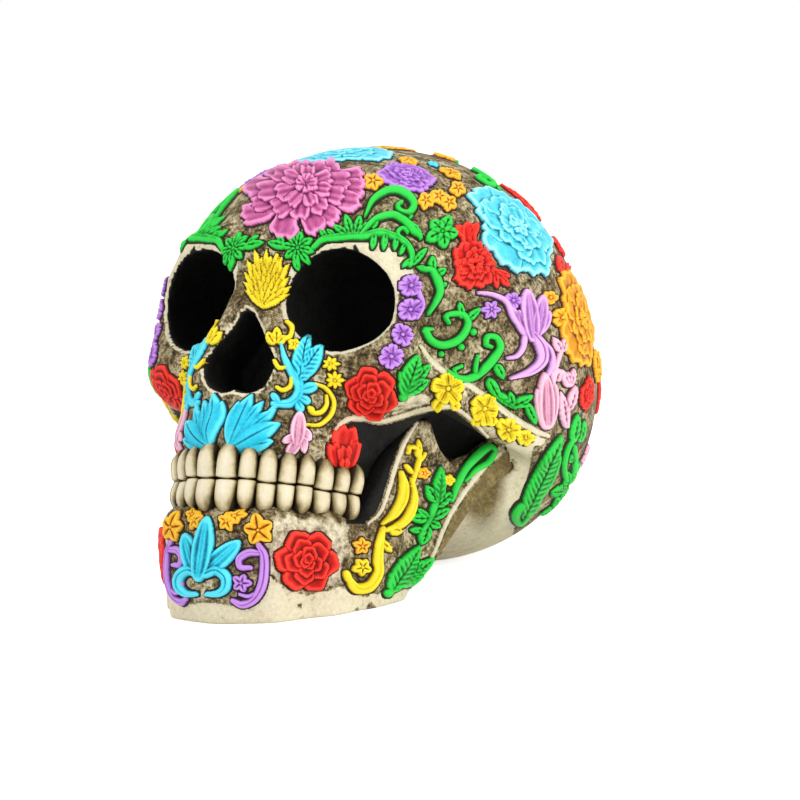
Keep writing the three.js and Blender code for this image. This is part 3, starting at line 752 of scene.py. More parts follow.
JAW_BASE = ((160, 592), (180, 598), (232, 606), (262, 598), (268, 575), (285, 590), (306, 596),
    (340, 588), (352, 592), (372, 594), (392, 594), (412, 590), (436, 560), (436, 640), (160, 640))
JAW_FRONT = ((262, 520), (285, 512), (350, 520), (352, 560), (340, 590), (285, 592), (266, 575))
JAW_CHIPS = (((366, 594), 4.0), ((371, 608), 5.0), ((357, 610), 2.2), ((300, 606), 2.4))
ARCH_HALF = 3.4
CHEEK_HALF = 3.0
REAR_HALF = 2.6
FRONT_HALF = 2.4
JAW_FRONT_SOFT = 9.0

# Where the bone's paint starts to show and where it is full, in millimetres, or degrees for the brow
FADES = dict(
    orbit=(1.0, 0.4), nose=(0.8, 0.3), upper_gum=(32, 30.5), upper_inside=(-44, -50), brow=(80, 50),
    rim_front=(-50, -54), nose_rim=(2.2, 1.4), nose_front=(-60, -64), foot=(7, 3), foot_front=(-30, -10),
    base_top=(62, 54), base_back=(74, 66), ramus_inside=(0.5, -1.5), ramus_front=(-50, -42),
    ramus_foot=(12, 18), lower_gum=(13.5, 15), lower_inside=(-50, -56), jaw_foot=(5, 3))
BROW_MIDDLE = 85
RIM_START = (2.4, 3.8)
RIM_FULL = (1.6, 3.0)
# Where the base's painted shade starts and where it is full, in half sizes from its middle
PAINTED_SHADE_FADE = (1.3, 0.6)

# How strong the weaker patches of paint are
SHARES = dict(behind_teeth=0.47, nose_rim=0.8, cheek_tan=0.55, arch_face=0.42, jaw_front=0.5)


def to_picture(p):
    """Where the camera sees each point, with the skull's right side folded onto its left."""
    v = p * np.where(p[:, :1] < 0, np.array([[-1, 1, 1]]), 1) - TARGET
    near = PX_PER_MM * DISTANCE / (DISTANCE - v @ BACK)
    return np.stack([CENTRE_PX[0] + near * (v @ RIGHT), CENTRE_PX[1] - near * (v @ UP)], -1)


def ramp_step(value, low, high):
    t = np.clip((value - low) / (high - low), 0, 1)
    return t * t * (3 - 2 * t)


def patch(px, outline, soft=2.0):
    return ramp_step(to_outline(px[:, 0], px[:, 1], outline), soft, -soft)


def stroke(px, line, half, soft=1.5):
    reach = np.full(len(px), np.inf)
    for a, b in zip(np.array(line[:-1], float), np.array(line[1:], float)):
        t = np.clip((px - a) @ (b - a) / ((b - a) @ (b - a)), 0, 1)
        reach = np.minimum(reach, np.linalg.norm(px - a - t[:, None] * (b - a), axis=1))
    return ramp_step(reach, half + soft, half - soft)


def spots(px, places):
    return np.max([ramp_step(np.hypot(*(px - middle).T), 1.3 * size, 0.7 * size)
                   for middle, size in places], axis=0)


def fade(value, band):
    return ramp_step(value, *FADES[band])


def cranium_paint(p):
    """How black and how cream the bone is painted at each point, and how much brown painted shade lies over
    the rounded base.
    """
    f, px = to_face(p), to_picture(p)
    orbit, nose = ellipsoid(f, ORBIT), nose_field(f)
    # Bone behind and between the upper teeth is darkened: painted shade in the gaps between the teeth.
    behind_teeth = fade(f[:, 2], "upper_gum") * fade(f[:, 1], "upper_inside")
    black = np.maximum.reduce([fade(orbit, "orbit"), fade(nose, "nose"), patch(px, CHEEK_HOLLOW),
                               SHARES["behind_teeth"] * behind_teeth, spots(px, ORBIT_PIT_SHADE)])
    middle = ORBIT[0]
    angle = np.degrees(np.arctan2(f[:, 2] - middle[2], f[:, 0] - middle[0]))
    brow = fade(np.abs(angle - BROW_MIDDLE), "brow")
    start, full = (least + more * brow for least, more in (RIM_START, RIM_FULL))
    rim = ramp_step(orbit, start, full) * fade(f[:, 1], "rim_front")
    nose_rim = fade(nose, "nose_rim") * fade(f[:, 1], "nose_front")
    foot = fade(p[:, 2], "foot") * fade(p[:, 1], "foot_front")
    base = patch(px, SKULL_BASE) * fade(p[:, 2], "base_top") * fade(p[:, 1], "base_back")
    edges = np.maximum(stroke(px, ARCH_TOP, ARCH_HALF), stroke(px, CHEEK_EDGE, CHEEK_HALF))
    cream = np.maximum.reduce([rim, SHARES["nose_rim"] * nose_rim, foot, base, edges, patch(px, ARCH_REAR),
                               SHARES["cheek_tan"] * patch(px, CHEEK_TAN),
                               SHARES["arch_face"] * patch(px, ARCH_FACE)])
    # Brown painted shade over the rounded base, strongest in its middle
    centre, half = (np.array(v, float) for v in BASE_PAINTED_SHADE)
    painted_shade = base * ramp_step(np.linalg.norm((px - centre) / half, axis=1), *PAINTED_SHADE_FADE)
    return dict(black=black, cream=cream * (1 - black), painted_shade=painted_shade)


def jaw_paint(p):
    f, px = to_face(p), to_picture(p)
    inner = fade(ramus_offset(f), "ramus_inside") * fade(f[:, 1], "ramus_front")
    # Bone behind and between the lower teeth is darkened: painted shade in the gaps between the teeth.
    behind_teeth = SHARES["behind_teeth"] * fade(f[:, 2], "lower_gum") * fade(f[:, 1], "lower_inside")
    # The strip behind the jaw's rear edge is painted cream under the base's brown painted shade, so it
    # reads as the base behind it.
    behind = patch(px, RAMUS_BEHIND)
    edges = np.maximum(stroke(px, RAMUS_REAR, REAR_HALF), stroke(px, RAMUS_FRONT, FRONT_HALF))
    front = SHARES["jaw_front"] * patch(px, JAW_FRONT, JAW_FRONT_SOFT)
    cream = np.maximum.reduce([patch(px, JAW_BASE), front, fade(p[:, 2], "jaw_foot"), behind, edges])
    black = np.maximum.reduce([inner * fade(p[:, 2], "ramus_foot"), behind_teeth, patch(px, RAMUS_SHADE)])
    return dict(black=black, cream=cream * (1 - spots(px, JAW_CHIPS)), painted_shade=behind)


# Materials

SPECULAR = 0.14
MIX_INPUTS = (0, 6, 7)
MIX_RESULT = 2


def node(tree, kind, **values):
    made = tree.nodes.new(kind)
    for key, value in values.items():
        if hasattr(made, key):
            setattr(made, key, value)
        else:
            made.inputs[key].default_value = value
    return made


def srgb(r, g, b):
    c = np.array([r, g, b]) / 255.0
    return (*np.where(c <= 0.04045, c / 12.92, ((c + 0.055) / 1.055) ** 2.4), 1.0)


def new_material(name, roughness, specular=SPECULAR):
    material = bpy.data.materials.new(name)
    material.use_nodes = True
    tree = material.node_tree
    shader = tree.nodes["Principled BSDF"]
    shader.inputs["Roughness"].default_value = roughness
    shader.inputs["Specular IOR Level"].default_value = specular
    return material, tree, shader


def grain(tree, scale, detail, rough):
    place = node(tree, "ShaderNodeTexCoord")
    noise = node(tree, "ShaderNodeTexNoise", Scale=scale, Detail=detail, Roughness=rough)
    tree.links.new(place.outputs["Object"], noise.inputs["Vector"])
    return noise.outputs["Fac"]


def attribute(tree, name):
    return node(tree, "ShaderNodeAttribute", attribute_name=name).outputs["Fac"]


def plug(tree, value, socket):
    if isinstance(value, (int, float)):
        socket.default_value = value
    else:
        tree.links.new(value, socket)


def maths(tree, operation, a, b, clamp=False):
    made = node(tree, "ShaderNodeMath", operation=operation, use_clamp=clamp)
    plug(tree, a, made.inputs[0])
    plug(tree, b, made.inputs[1])
    return made.outputs["Value"]


def swing(tree, value, amount):
    """A noise value swung about zero."""
    return maths(tree, "MULTIPLY", maths(tree, "SUBTRACT", value, 0.5), amount)


def ramp(tree, factor, stops):
    made = node(tree, "ShaderNodeValToRGB")
    bands = made.color_ramp.elements
    while len(bands) < len(stops):
        bands.new(0.5)
    for band, (place, colour) in zip(bands, stops):
        band.position = place
        band.color = srgb(*colour)
    tree.links.new(factor, made.inputs["Fac"])
    return made.outputs["Color"]


def mix(tree, factor, a, b, blend="MIX"):
    made = node(tree, "ShaderNodeMix", data_type="RGBA", blend_type=blend)
    for place, value in zip(MIX_INPUTS, (factor, a, b)):
        plug(tree, value, made.inputs[place])
    return made.outputs[MIX_RESULT]


def coat(tree, shader, colour, height, strength, distance):
    """Gives a surface its colour, and fine bumps from a height."""
    tree.links.new(colour, shader.inputs["Base Color"])
    made = node(tree, "ShaderNodeBump", Strength=strength, Distance=distance)
    tree.links.new(height, made.inputs["Height"])
    tree.links.new(made.outputs["Normal"], shader.inputs["Normal"])


def bone_material():
    material, tree, shader = new_material("aged_bone", 0.62)
    fine = grain(tree, 850.0, 3.0, 0.7)
    coarse = grain(tree, 260.0, 3.0, 0.65)
    blotch = grain(tree, 70.0, 2.0, 0.5)
    pits = maths(tree, "ADD", maths(tree, "MULTIPLY", fine, 0.5), maths(tree, "MULTIPLY", coarse, 0.5))
    ground = ramp(tree, pits, BONE_GROUND)
    ground = mix(tree, 1.0, ground, ramp(tree, blotch, BONE_SHADE), "MULTIPLY")
    wobble = swing(tree, coarse, 0.7)
    cream = maths(tree, "ADD", attribute(tree, "cream"), wobble, True)
    painted_shade = maths(tree, "ADD", attribute(tree, "painted_shade"), maths(tree, "MULTIPLY", wobble, 0.5), True)
    black = maths(tree, "ADD", attribute(tree, "black"), maths(tree, "MULTIPLY", wobble, 0.4), True)
    colour = mix(tree, ramp(tree, cream, SOFT_STEP), ground, ramp(tree, pits, BONE_WORN))
    # Brown painted shade laid over the cream and the ground
    colour = mix(tree, painted_shade, colour, ramp(tree, pits, BONE_PAINTED_SHADE))
    colour = mix(tree, ramp(tree, black, SOFT_STEP), colour, ramp(tree, pits, BONE_DARK))
    depth = maths(tree, "MULTIPLY", pits, maths(tree, "SUBTRACT", 1.0, maths(tree, "MULTIPLY", cream, 0.8)))
    coat(tree, shader, colour, depth, 0.9, 0.0012)
    return material


def paint_material(name, dark, middle, light):
    material, tree, shader = new_material(name, 0.46)
    fine = grain(tree, 1100.0, 3.0, 0.65)
    soft = grain(tree, 180.0, 2.0, 0.5)
    drift = maths(tree, "ADD", swing(tree, fine, 0.34), swing(tree, soft, 0.3))
    tone = maths(tree, "ADD", attribute(tree, "tone"), drift, True)
    # Low tone gives the dark colours, dark wash and painted shade; high tone gives the light colour,
    # dry-brushed paint and painted highlight.
    colour = ramp(tree, tone, ((0.05, WASH_AND_SHADE), (0.24, dark), (0.52, middle), (0.86, light)))
    coat(tree, shader, colour, fine, 0.35, 0.0004)
    return material


def enamel_material():
    material, tree, shader = new_material("enamel", 0.4)
    fine = grain(tree, 700.0, 3.0, 0.6)
    streak = grain(tree, 160.0, 2.0, 0.5)
    drift = maths(tree, "ADD", swing(tree, streak, 0.4), swing(tree, fine, 0.25))
    # Olive wash and painted shade of each tooth, from its tone, with streaks
    wash_and_shade = maths(tree, "ADD", attribute(tree, "tone"), drift, True)
    coat(tree, shader, ramp(tree, wash_and_shade, ENAMEL), fine, 0.25, 0.0004)
    return material


# Colours, as places on a ramp with red, green and blue from 0 to 255
BONE_GROUND = ((0.38, (40, 33, 20)), (0.45, (106, 92, 63)), (0.51, (160, 144, 108)),
               (0.58, (222, 208, 174)))
BONE_SHADE = ((0.34, (176, 166, 146)), (0.64, (255, 255, 255)))
BONE_WORN = ((0.32, (172, 155, 114)), (0.41, (218, 207, 174)), (0.6, (238, 229, 200)))
# Brown of the painted shade on the rounded base
BONE_PAINTED_SHADE = ((0.36, (82, 68, 36)), (0.5, (118, 102, 60)), (0.66, (158, 141, 95)))
BONE_DARK = ((0.38, (6, 6, 6)), (0.62, (26, 25, 23)))
# Enamel from plain ivory through olive wash to painted shade
ENAMEL = ((0.14, (240, 230, 204)), (0.4, (224, 210, 174)), (0.66, (152, 136, 92)), (0.9, (48, 40, 26)))
# Darkest paint: dark wash and painted shade in grooves, and the painted shadow in the rim round each relief
WASH_AND_SHADE = (38, 30, 18)
SOFT_STEP = ((0.35, (0, 0, 0)), (0.6, (255, 255, 255)))
# Each paint as its dark, middle and light colour: the dark one carries painted shade and the light one
# painted highlight.
PAINTS = dict(
    pink=((126, 36, 88), (196, 92, 150), (244, 154, 206)),
    cyan=((30, 140, 165), (90, 218, 240), (168, 246, 254)),
    yellow=((150, 116, 4), (228, 198, 16), (252, 230, 54)),
    green=((4, 70, 16), (16, 158, 44), (52, 216, 78)),
    red=((140, 6, 6), (214, 28, 20), (248, 66, 50)),
    purple=((102, 50, 130), (160, 98, 198), (206, 150, 232)),
    orange=((150, 76, 6), (232, 152, 20), (252, 200, 60)),
    blue=((22, 108, 134), (40, 200, 230), (100, 232, 248)),
    rosy=((164, 92, 118), (222, 154, 182), (248, 204, 222)),
    lilac=((140, 84, 150), (196, 132, 206), (236, 184, 236)),
)


# Ornament seen in the picture, on the skull's left side and its middle. Each is drawn in picture pixels.

# A feathered leaf: its foot, its barbs, and rows of them as reach, spread in degrees and count
GLABELLA_FOOT = np.array([265.0, 308.0])
BARB_TURN = -85
BARB_LENGTH = 25.0
BARB_HALF = 2.7
GLABELLA_ROWS = ((54, 14, 6), (48, 24, 9), (41, 33, 10), (34, 44, 10), (26, 54, 9), (18, 58, 6))


def feathered(foot, rows):
    tongues = []
    for lift, (reach, spread, count) in enumerate(rows):
        for k, a in enumerate(np.radians(np.linspace(-spread, spread, count) + BARB_TURN)):
            out = np.array([np.cos(a), np.sin(a)])
            far = reach * (1 + 0.07 * np.cos(2.9 * k + lift))
            near = max(far - BARB_LENGTH, 0)
            tongues.append((foot + out * near, foot + out * far, BARB_HALF, 1.5 + 0.15 * lift))
    return layered(tongues, "blade")


MIDLINE = dict(
    forehead_dahlia=("pink", "cranium", layered([
        *tongue_rows(1.7, (282, 185, 245, 190, 10), (290, 176, 266, 171, 9), (283, 207, 244, 218, 11),
            (300, 176, 290, 166, 9), (310, 176, 313, 164, 10), (322, 178, 338, 166, 10),
            (330, 182, 363, 177, 9), (330, 189, 364, 191, 10), (324, 199, 360, 205, 10),
            (316, 208, 338, 222, 10), (306, 210, 320, 233, 12), (290, 210, 283, 239, 14),
            (280, 202, 254, 208, 9)),
        *tongue_rows(2.1, (296, 191, 260, 195, 11), (300, 182, 275, 175, 10), (306, 178, 300, 166, 9),
            (314, 180, 327, 168, 10), (318, 185, 350, 184, 10), (316, 193, 344, 200, 10),
            (308, 199, 326, 213, 10), (302, 200, 300, 221, 11), (298, 199, 276, 214, 11)),
        *tongue_rows(2.5, (302, 191, 278, 198, 9), (304, 185, 285, 179, 8), (308, 184, 309, 170, 8),
            (312, 186, 332, 180, 8), (312, 191, 331, 195, 8), (307, 194, 314, 209, 8),
            (304, 193, 290, 208, 8)),
        *(((308, 189), (308 + 11 * c, 187 + 9 * d), 6, 2.9) for c, d in ((-1, 0.2), (-0.4, -0.9),
            (0.6, -0.8), (1, 0.2), (0.2, 1)))])),
    glabella_leaf=("yellow", "cranium", feathered(GLABELLA_FOOT, GLABELLA_ROWS)),
    chin_lily=("blue", "mandible", [
        *petals("blade", (200, 582, 209, 517, 10, 2.2), (198, 577, 186, 533, 9.5, 1.8),
            (205, 573, 241, 541, 10, 1.8)),
        ribbon([(202, 574), (190, 570), (181, 576), (180, 586), (187, 593), (197, 594)],
            (5, 6, 6, 5.4, 4, 2.5), 1.9, 0.2),
        ribbon([(206, 574), (217, 570), (226, 577), (226, 587), (219, 593), (208, 594)],
            (5, 6, 6, 5.4, 4, 2.5), 1.9, 0.2)]))

PAIRED = dict(
    temple_rose=("red", "cranium", [
        *ringed((473, 266), ((23, 7, 2.0, 15), (16, 6, 2.5, 40), (9, 5, 3.0, 10)), 0.92, 60),
        *petals("frond", (469, 250, 466, 223, 8, 1.6), (467, 240, 455, 226, 5, 1.5),
            (468, 240, 477, 224, 5, 1.7)),
        *petals("leaf", (486, 268, 504, 281, 5, 1.5), (492, 272, 497, 289, 4, 1.5),
            (495, 272, 510, 277, 4, 1.4), (498, 276, 509, 287, 4, 1.4)),
        ribbon([(469, 252), (468, 240)], (3.4, 3.4), 1.5)]),
    side_lily=("lilac", "cranium", [
        *petals("blade", (531, 342, 525, 289, 9, 2.0), (533, 340, 542, 295, 8, 1.9),
            (534, 336, 548, 311, 7, 1.8), (528, 340, 509, 306, 5, 1.6), (528, 338, 517, 310, 6, 1.7)),
        ribbon([(478, 293), (492, 295), (505, 302), (513, 319), (526, 335)], (1.8, 2.6, 2.8, 3.0), 1.5),
        ribbon([(531, 334), (540, 346), (541, 360), (530, 371), (510, 378)],
            (5, 6.5, 6, 4.4, 1.6), 1.9, 0.25),
        ribbon([(536, 338), (548, 350), (551, 364), (546, 375)], (3, 3.6, 3, 1.6), 1.6),
        ribbon([(524, 336), (522, 348), (516, 356), (507, 358)], (3.2, 3, 2.6, 1.6), 1.4)]),
    side_tulip=("rosy", "cranium", [
        *petals("blade", (545, 430, 543, 372, 8.5, 2.0), (546, 430, 553, 382, 7, 1.8),
            (544, 430, 536, 388, 6, 1.7), (546, 428, 540, 412, 5, 1.9)),
        ribbon([(550, 386), (553, 374), (558, 371), (557, 380)], (3.4, 3.4, 2.4, 1.6))]),
    cheek_rose=("red", "cranium", rose((371, 393), 26, 20, 2.5)),
    brow_garland=("green", "cranium", [
        *petals("leaf", (350, 239, 333, 226, 4.6, 1.7), (352, 238, 345, 215, 5, 1.8),
            (356, 238, 360, 216, 5, 1.8), (358, 238, 369, 223, 4.6, 1.7), (328, 240, 320, 229, 3.6, 1.6),
            (336, 239, 327, 230, 3.4, 1.6), (374, 236, 372, 250, 3.4, 1.6),
            (384, 236, 383, 251, 3.4, 1.6), (395, 238, 394, 251, 3.4, 1.6), (404, 245, 399, 256, 3, 1.5),
            (410, 266, 427, 248, 4, 1.6), (410, 260, 401, 268, 3, 1.5)),
        ribbon([(314, 248), (324, 240), (338, 238), (352, 237), (366, 237), (379, 234), (392, 237),
            (404, 243), (411, 254), (409, 266)], (2.4, 3.4, 4, 4, 4, 4.4, 4.2, 4, 3.4, 2.2), 1.6, 0.15),
        ribbon([(401, 242), (397, 234), (402, 229), (407, 233)], (2.2, 2.4, 2.2, 1.6), 1.5)]),
    brow_scroll=("green", "cranium", [
        *petals("leaf", (407, 224, 422, 239, 5, 1.9), (404, 221, 413, 215, 3.4, 1.6),
            (378, 219, 372, 230, 3, 1.5)),
        ribbon([(365, 217), (373, 201), (387, 192), (399, 192), (410, 199), (413, 207), (408, 214),
            (400, 213), (397, 207), (401, 204)], (1.4, 3.2, 3.8, 4, 4.2, 4, 3.6, 3, 2.4, 2), 1.9),
        ribbon([(361, 237), (369, 226), (378, 219), (392, 216), (403, 221), (412, 230), (420, 239)],
            (1.6, 3, 3.6, 3.8, 4, 4, 1.8), 1.9)]),
    arch_flower_front=("yellow", "cranium", [
        *flower((447, 389), 16, 5, -20, 1.7, 0.88, 40, fill=1.35, heart=0.16),
        *petals("cup", (443, 397, 434, 408, 6, 1.6), (451, 398, 457, 408, 5, 1.6))]),
    arch_flower_back=("yellow", "cranium", [
        *flower((483, 409), 15, 5, 10, 1.7, 0.85, 50, fill=1.35, heart=0.16),
        *petals("cup", (488, 416, 494, 424, 5, 1.5), (478, 414, 474, 424, 5, 1.5))]),
    nose_leaf=("blue", "cranium", [
        *petals("leaf", (297, 379, 307, 335, 10, 1.8), (297, 377, 323, 347, 11, 1.8),
            (298, 380, 312, 368, 6, 1.6)),
        *petals("lobe", (296, 391, 317, 386, 6, 1.6), (297, 396, 310, 403, 5, 1.6),
            (296, 400, 302, 412, 5, 1.5), (280, 404, 272, 393, 4, 1.5)),
        ribbon([(281, 345), (285, 360), (292, 373), (298, 384)], (1.4, 3.2, 4.6, 5), 1.6),
        ribbon([(298, 380), (299, 393), (290, 403), (274, 404)], (5, 6, 5.4, 3.6), 1.6, 0.15)]),
    lip_palmette=("blue", "cranium", [
        *petals("spear", (230, 446, 240, 401, 9, 1.7), (230, 446, 253, 394, 11, 1.9),
            (231, 446, 264, 401, 9, 1.8), (231, 446, 277, 409, 9, 1.7), (230, 447, 281, 424, 11, 2.0),
            (231, 447, 274, 441, 10, 1.8), (232, 444, 257, 454, 8, 1.7)),
        ribbon([(266, 418), (273, 409), (279, 405)], (3, 2.6, 2), 1.5)]),
    cheek_scroll=("yellow", "cranium", [
        ribbon([(315, 384), (326, 389), (333, 401), (330, 415), (319, 425), (306, 425)],
            (1.6, 2.4, 2.8, 2.6, 2.2, 1.4), 1.5),
        ribbon([(326, 396), (326, 405), (321, 412), (313, 413), (309, 408)],
            (1.5, 2.2, 2.6, 2.6, 2.2), 1.5),
        button((311, 410), 3.6, 1.6)]),
    orbit_flower_upper=("purple", "cranium", [
        *flower((409, 286), 11, 6, 0, 1.7, 0.95, 90, fill=1.35, heart=0.18),
        *flower((409, 310), 11.5, 6, 20, 1.7, 0.95, 90, fill=1.35, heart=0.18),
        ribbon([(417, 292), (421, 305), (416, 318)], (3, 3.4, 2), 1.4)]),
    orbit_flower_lower=("purple", "cranium", [
        *flower((402, 335), 11, 6, 10, 1.7, 0.95, 90, fill=1.35, heart=0.18),
        *flower((391, 357), 12, 6, 40, 1.7, 0.95, 90, fill=1.35, heart=0.18)]),
    chin_rose=("red", "mandible", rose((306, 561), 31, 5, 2.8)),
    chin_scroll=("purple", "mandible", [
        *flower((242, 583), 10, 5, 0, 1.7, 1.0, 0, fill=1.1, kind="star", heart=0.18),
        ribbon([(259, 545), (264, 556), (264, 574), (261, 588), (254, 599), (243, 604), (233, 600)],
            (3, 4.6, 5, 5, 4.6, 4.2, 2.2), 1.9, 0.25),
        ribbon([(260, 553), (249, 553), (240, 559), (241, 567), (251, 568)],
            (3.6, 4.2, 4, 3.4, 2.4), 1.8, 0.2),
        ribbon([(257, 592), (249, 596), (240, 594)], (2, 2.4, 1.6), 1.4)]),
    jaw_scroll=("yellow", "mandible", [
        *flower((361, 567), 10, 5, 20, 1.8, 1.0, 0, fill=1.15, kind="star", heart=0.18),
        *petals("leaf", (377, 540, 391, 552, 4.4, 1.7)),
        *petals("lobe", (349, 584, 344, 570, 4, 1.6)),
        ribbon([(381, 530), (378, 545), (377, 560), (377, 573), (369, 586), (355, 588), (346, 577)],
            (2.4, 4.4, 5, 5.4, 6, 5.6, 3), 1.9, 0.12)]),
    jaw_leaf=("green", "mandible", [
        *petals("leaf", (388, 592, 419, 545, 10, 2.0), (396, 586, 423, 560, 8, 1.8),
            (402, 583, 434, 557, 7, 1.7), (398, 586, 424, 573, 6, 1.6), (394, 588, 389, 572, 5, 1.6),
            (400, 578, 399, 558, 5, 1.6)),
        ribbon([(387, 593), (393, 587), (400, 581)], (4.6, 4.2, 3), 1.7)]),
    ramus_leaf=("yellow", "mandible", [
        *petals("leaf", (417, 458, 418, 439, 4, 1.6), (388, 530, 401, 533, 5, 1.6)),
        *petals("lobe", (416, 464, 425, 452, 3, 1.5), (412, 474, 404, 464, 3, 1.5)),
        ribbon([(382, 524), (393, 514), (401, 500), (403, 486), (400, 472)], (2, 5, 6, 5.4, 2), 1.9, 0.1),
        ribbon([(385, 531), (396, 527), (408, 515), (413, 498), (410, 479)],
            (2, 4.6, 5.4, 4.4, 2), 1.9, 0.1),
        ribbon([(410, 486), (414, 473), (418, 459), (416, 449), (409, 447), (407, 453)],
            (2.4, 2.8, 2.8, 2.6, 2.4, 1.6), 1.6)]),
    ramus_sprig=("green", "mandible", [
        *petals("leaf", (436, 502, 440, 466, 7, 1.9), (434, 506, 451, 492, 6.5, 1.8),
            (435, 502, 425, 485, 6, 1.7), (430, 518, 449, 508, 5.5, 1.7), (429, 518, 408, 518, 6, 1.8),
            (428, 522, 417, 508, 5, 1.6), (426, 526, 420, 545, 7, 1.8), (428, 522, 440, 527, 5, 1.6),
            (422, 530, 409, 530, 4, 1.5)),
        ribbon([(440, 474), (437, 488), (434, 504), (427, 520), (419, 534)],
            (2.4, 3.6, 4.2, 4, 2.4), 1.7),
        ribbon([(450, 500), (456, 485), (465, 468), (477, 456), (488, 448), (493, 451), (487, 462),
            (474, 470), (464, 480)], (2.6, 3.6, 4, 4, 3.8, 3.6, 3.6, 3.4, 2), 1.8)]),
    nape_leaf=("green", "cranium", [
        *petals("leaf", (521, 517, 561, 434, 9.5, 2.0), (529, 512, 540, 486, 6, 1.8)),
        *petals("blade", (534, 500, 559, 452, 7, 1.7)),
        ribbon([(529, 500), (521, 505), (515, 514), (519, 521), (527, 514)], (3.6, 4.2, 5, 4.2, 3), 1.8)]),
    temple_scroll=("green", "cranium", [
        *petals("leaf", (464, 322, 480, 308, 4.4, 1.8), (461, 319, 459, 302, 4.2, 1.7),
            (433, 276, 446, 269, 4.6, 1.7), (431, 273, 432, 256, 4.8, 1.8),
            (428, 271, 416, 267, 3.4, 1.5), (438, 288, 447, 283, 3, 1.5)),
        ribbon([(424, 331), (430, 340), (441, 345), (454, 342), (463, 334), (467, 323), (462, 315),
            (452, 314), (445, 317), (448, 323)], (3.4, 4.2, 4.4, 4.4, 4.2, 4, 3.6, 3.2, 2.8, 2.2), 1.9),
        ribbon([(426, 336), (424, 330), (430, 329)], (3.2, 3, 2.2), 1.8),
        ribbon([(447, 373), (456, 379), (468, 379), (482, 370), (493, 358), (499, 347), (495, 338),
            (487, 337), (485, 344), (490, 347)], (2, 3.6, 4.4, 4.8, 4.6, 4.2, 3.6, 3.2, 2.8, 2), 1.9),
        ribbon([(456, 379), (453, 371), (461, 366)], (2.6, 2.6, 2), 1.6),
        ribbon([(474, 376), (475, 366), (477, 356)], (2.6, 2.6, 1.8), 1.6),
        ribbon([(424, 270), (431, 271), (437, 281), (439, 292), (435, 302), (427, 314)],
            (2.6, 4.2, 4.8, 4.4, 3.6, 1.8), 1.9)]),
    mouth_leaf=("rosy", "cranium",
        petals("blade", (296, 446, 300, 411, 8, 1.8), (299, 430, 311, 440, 6, 1.7),
            (299, 440, 286, 456, 6, 1.6), (297, 436, 282, 442, 4.4, 1.5), (302, 432, 304, 453, 5, 1.6))))


# Small ornament between the main sprigs, by paint and bone

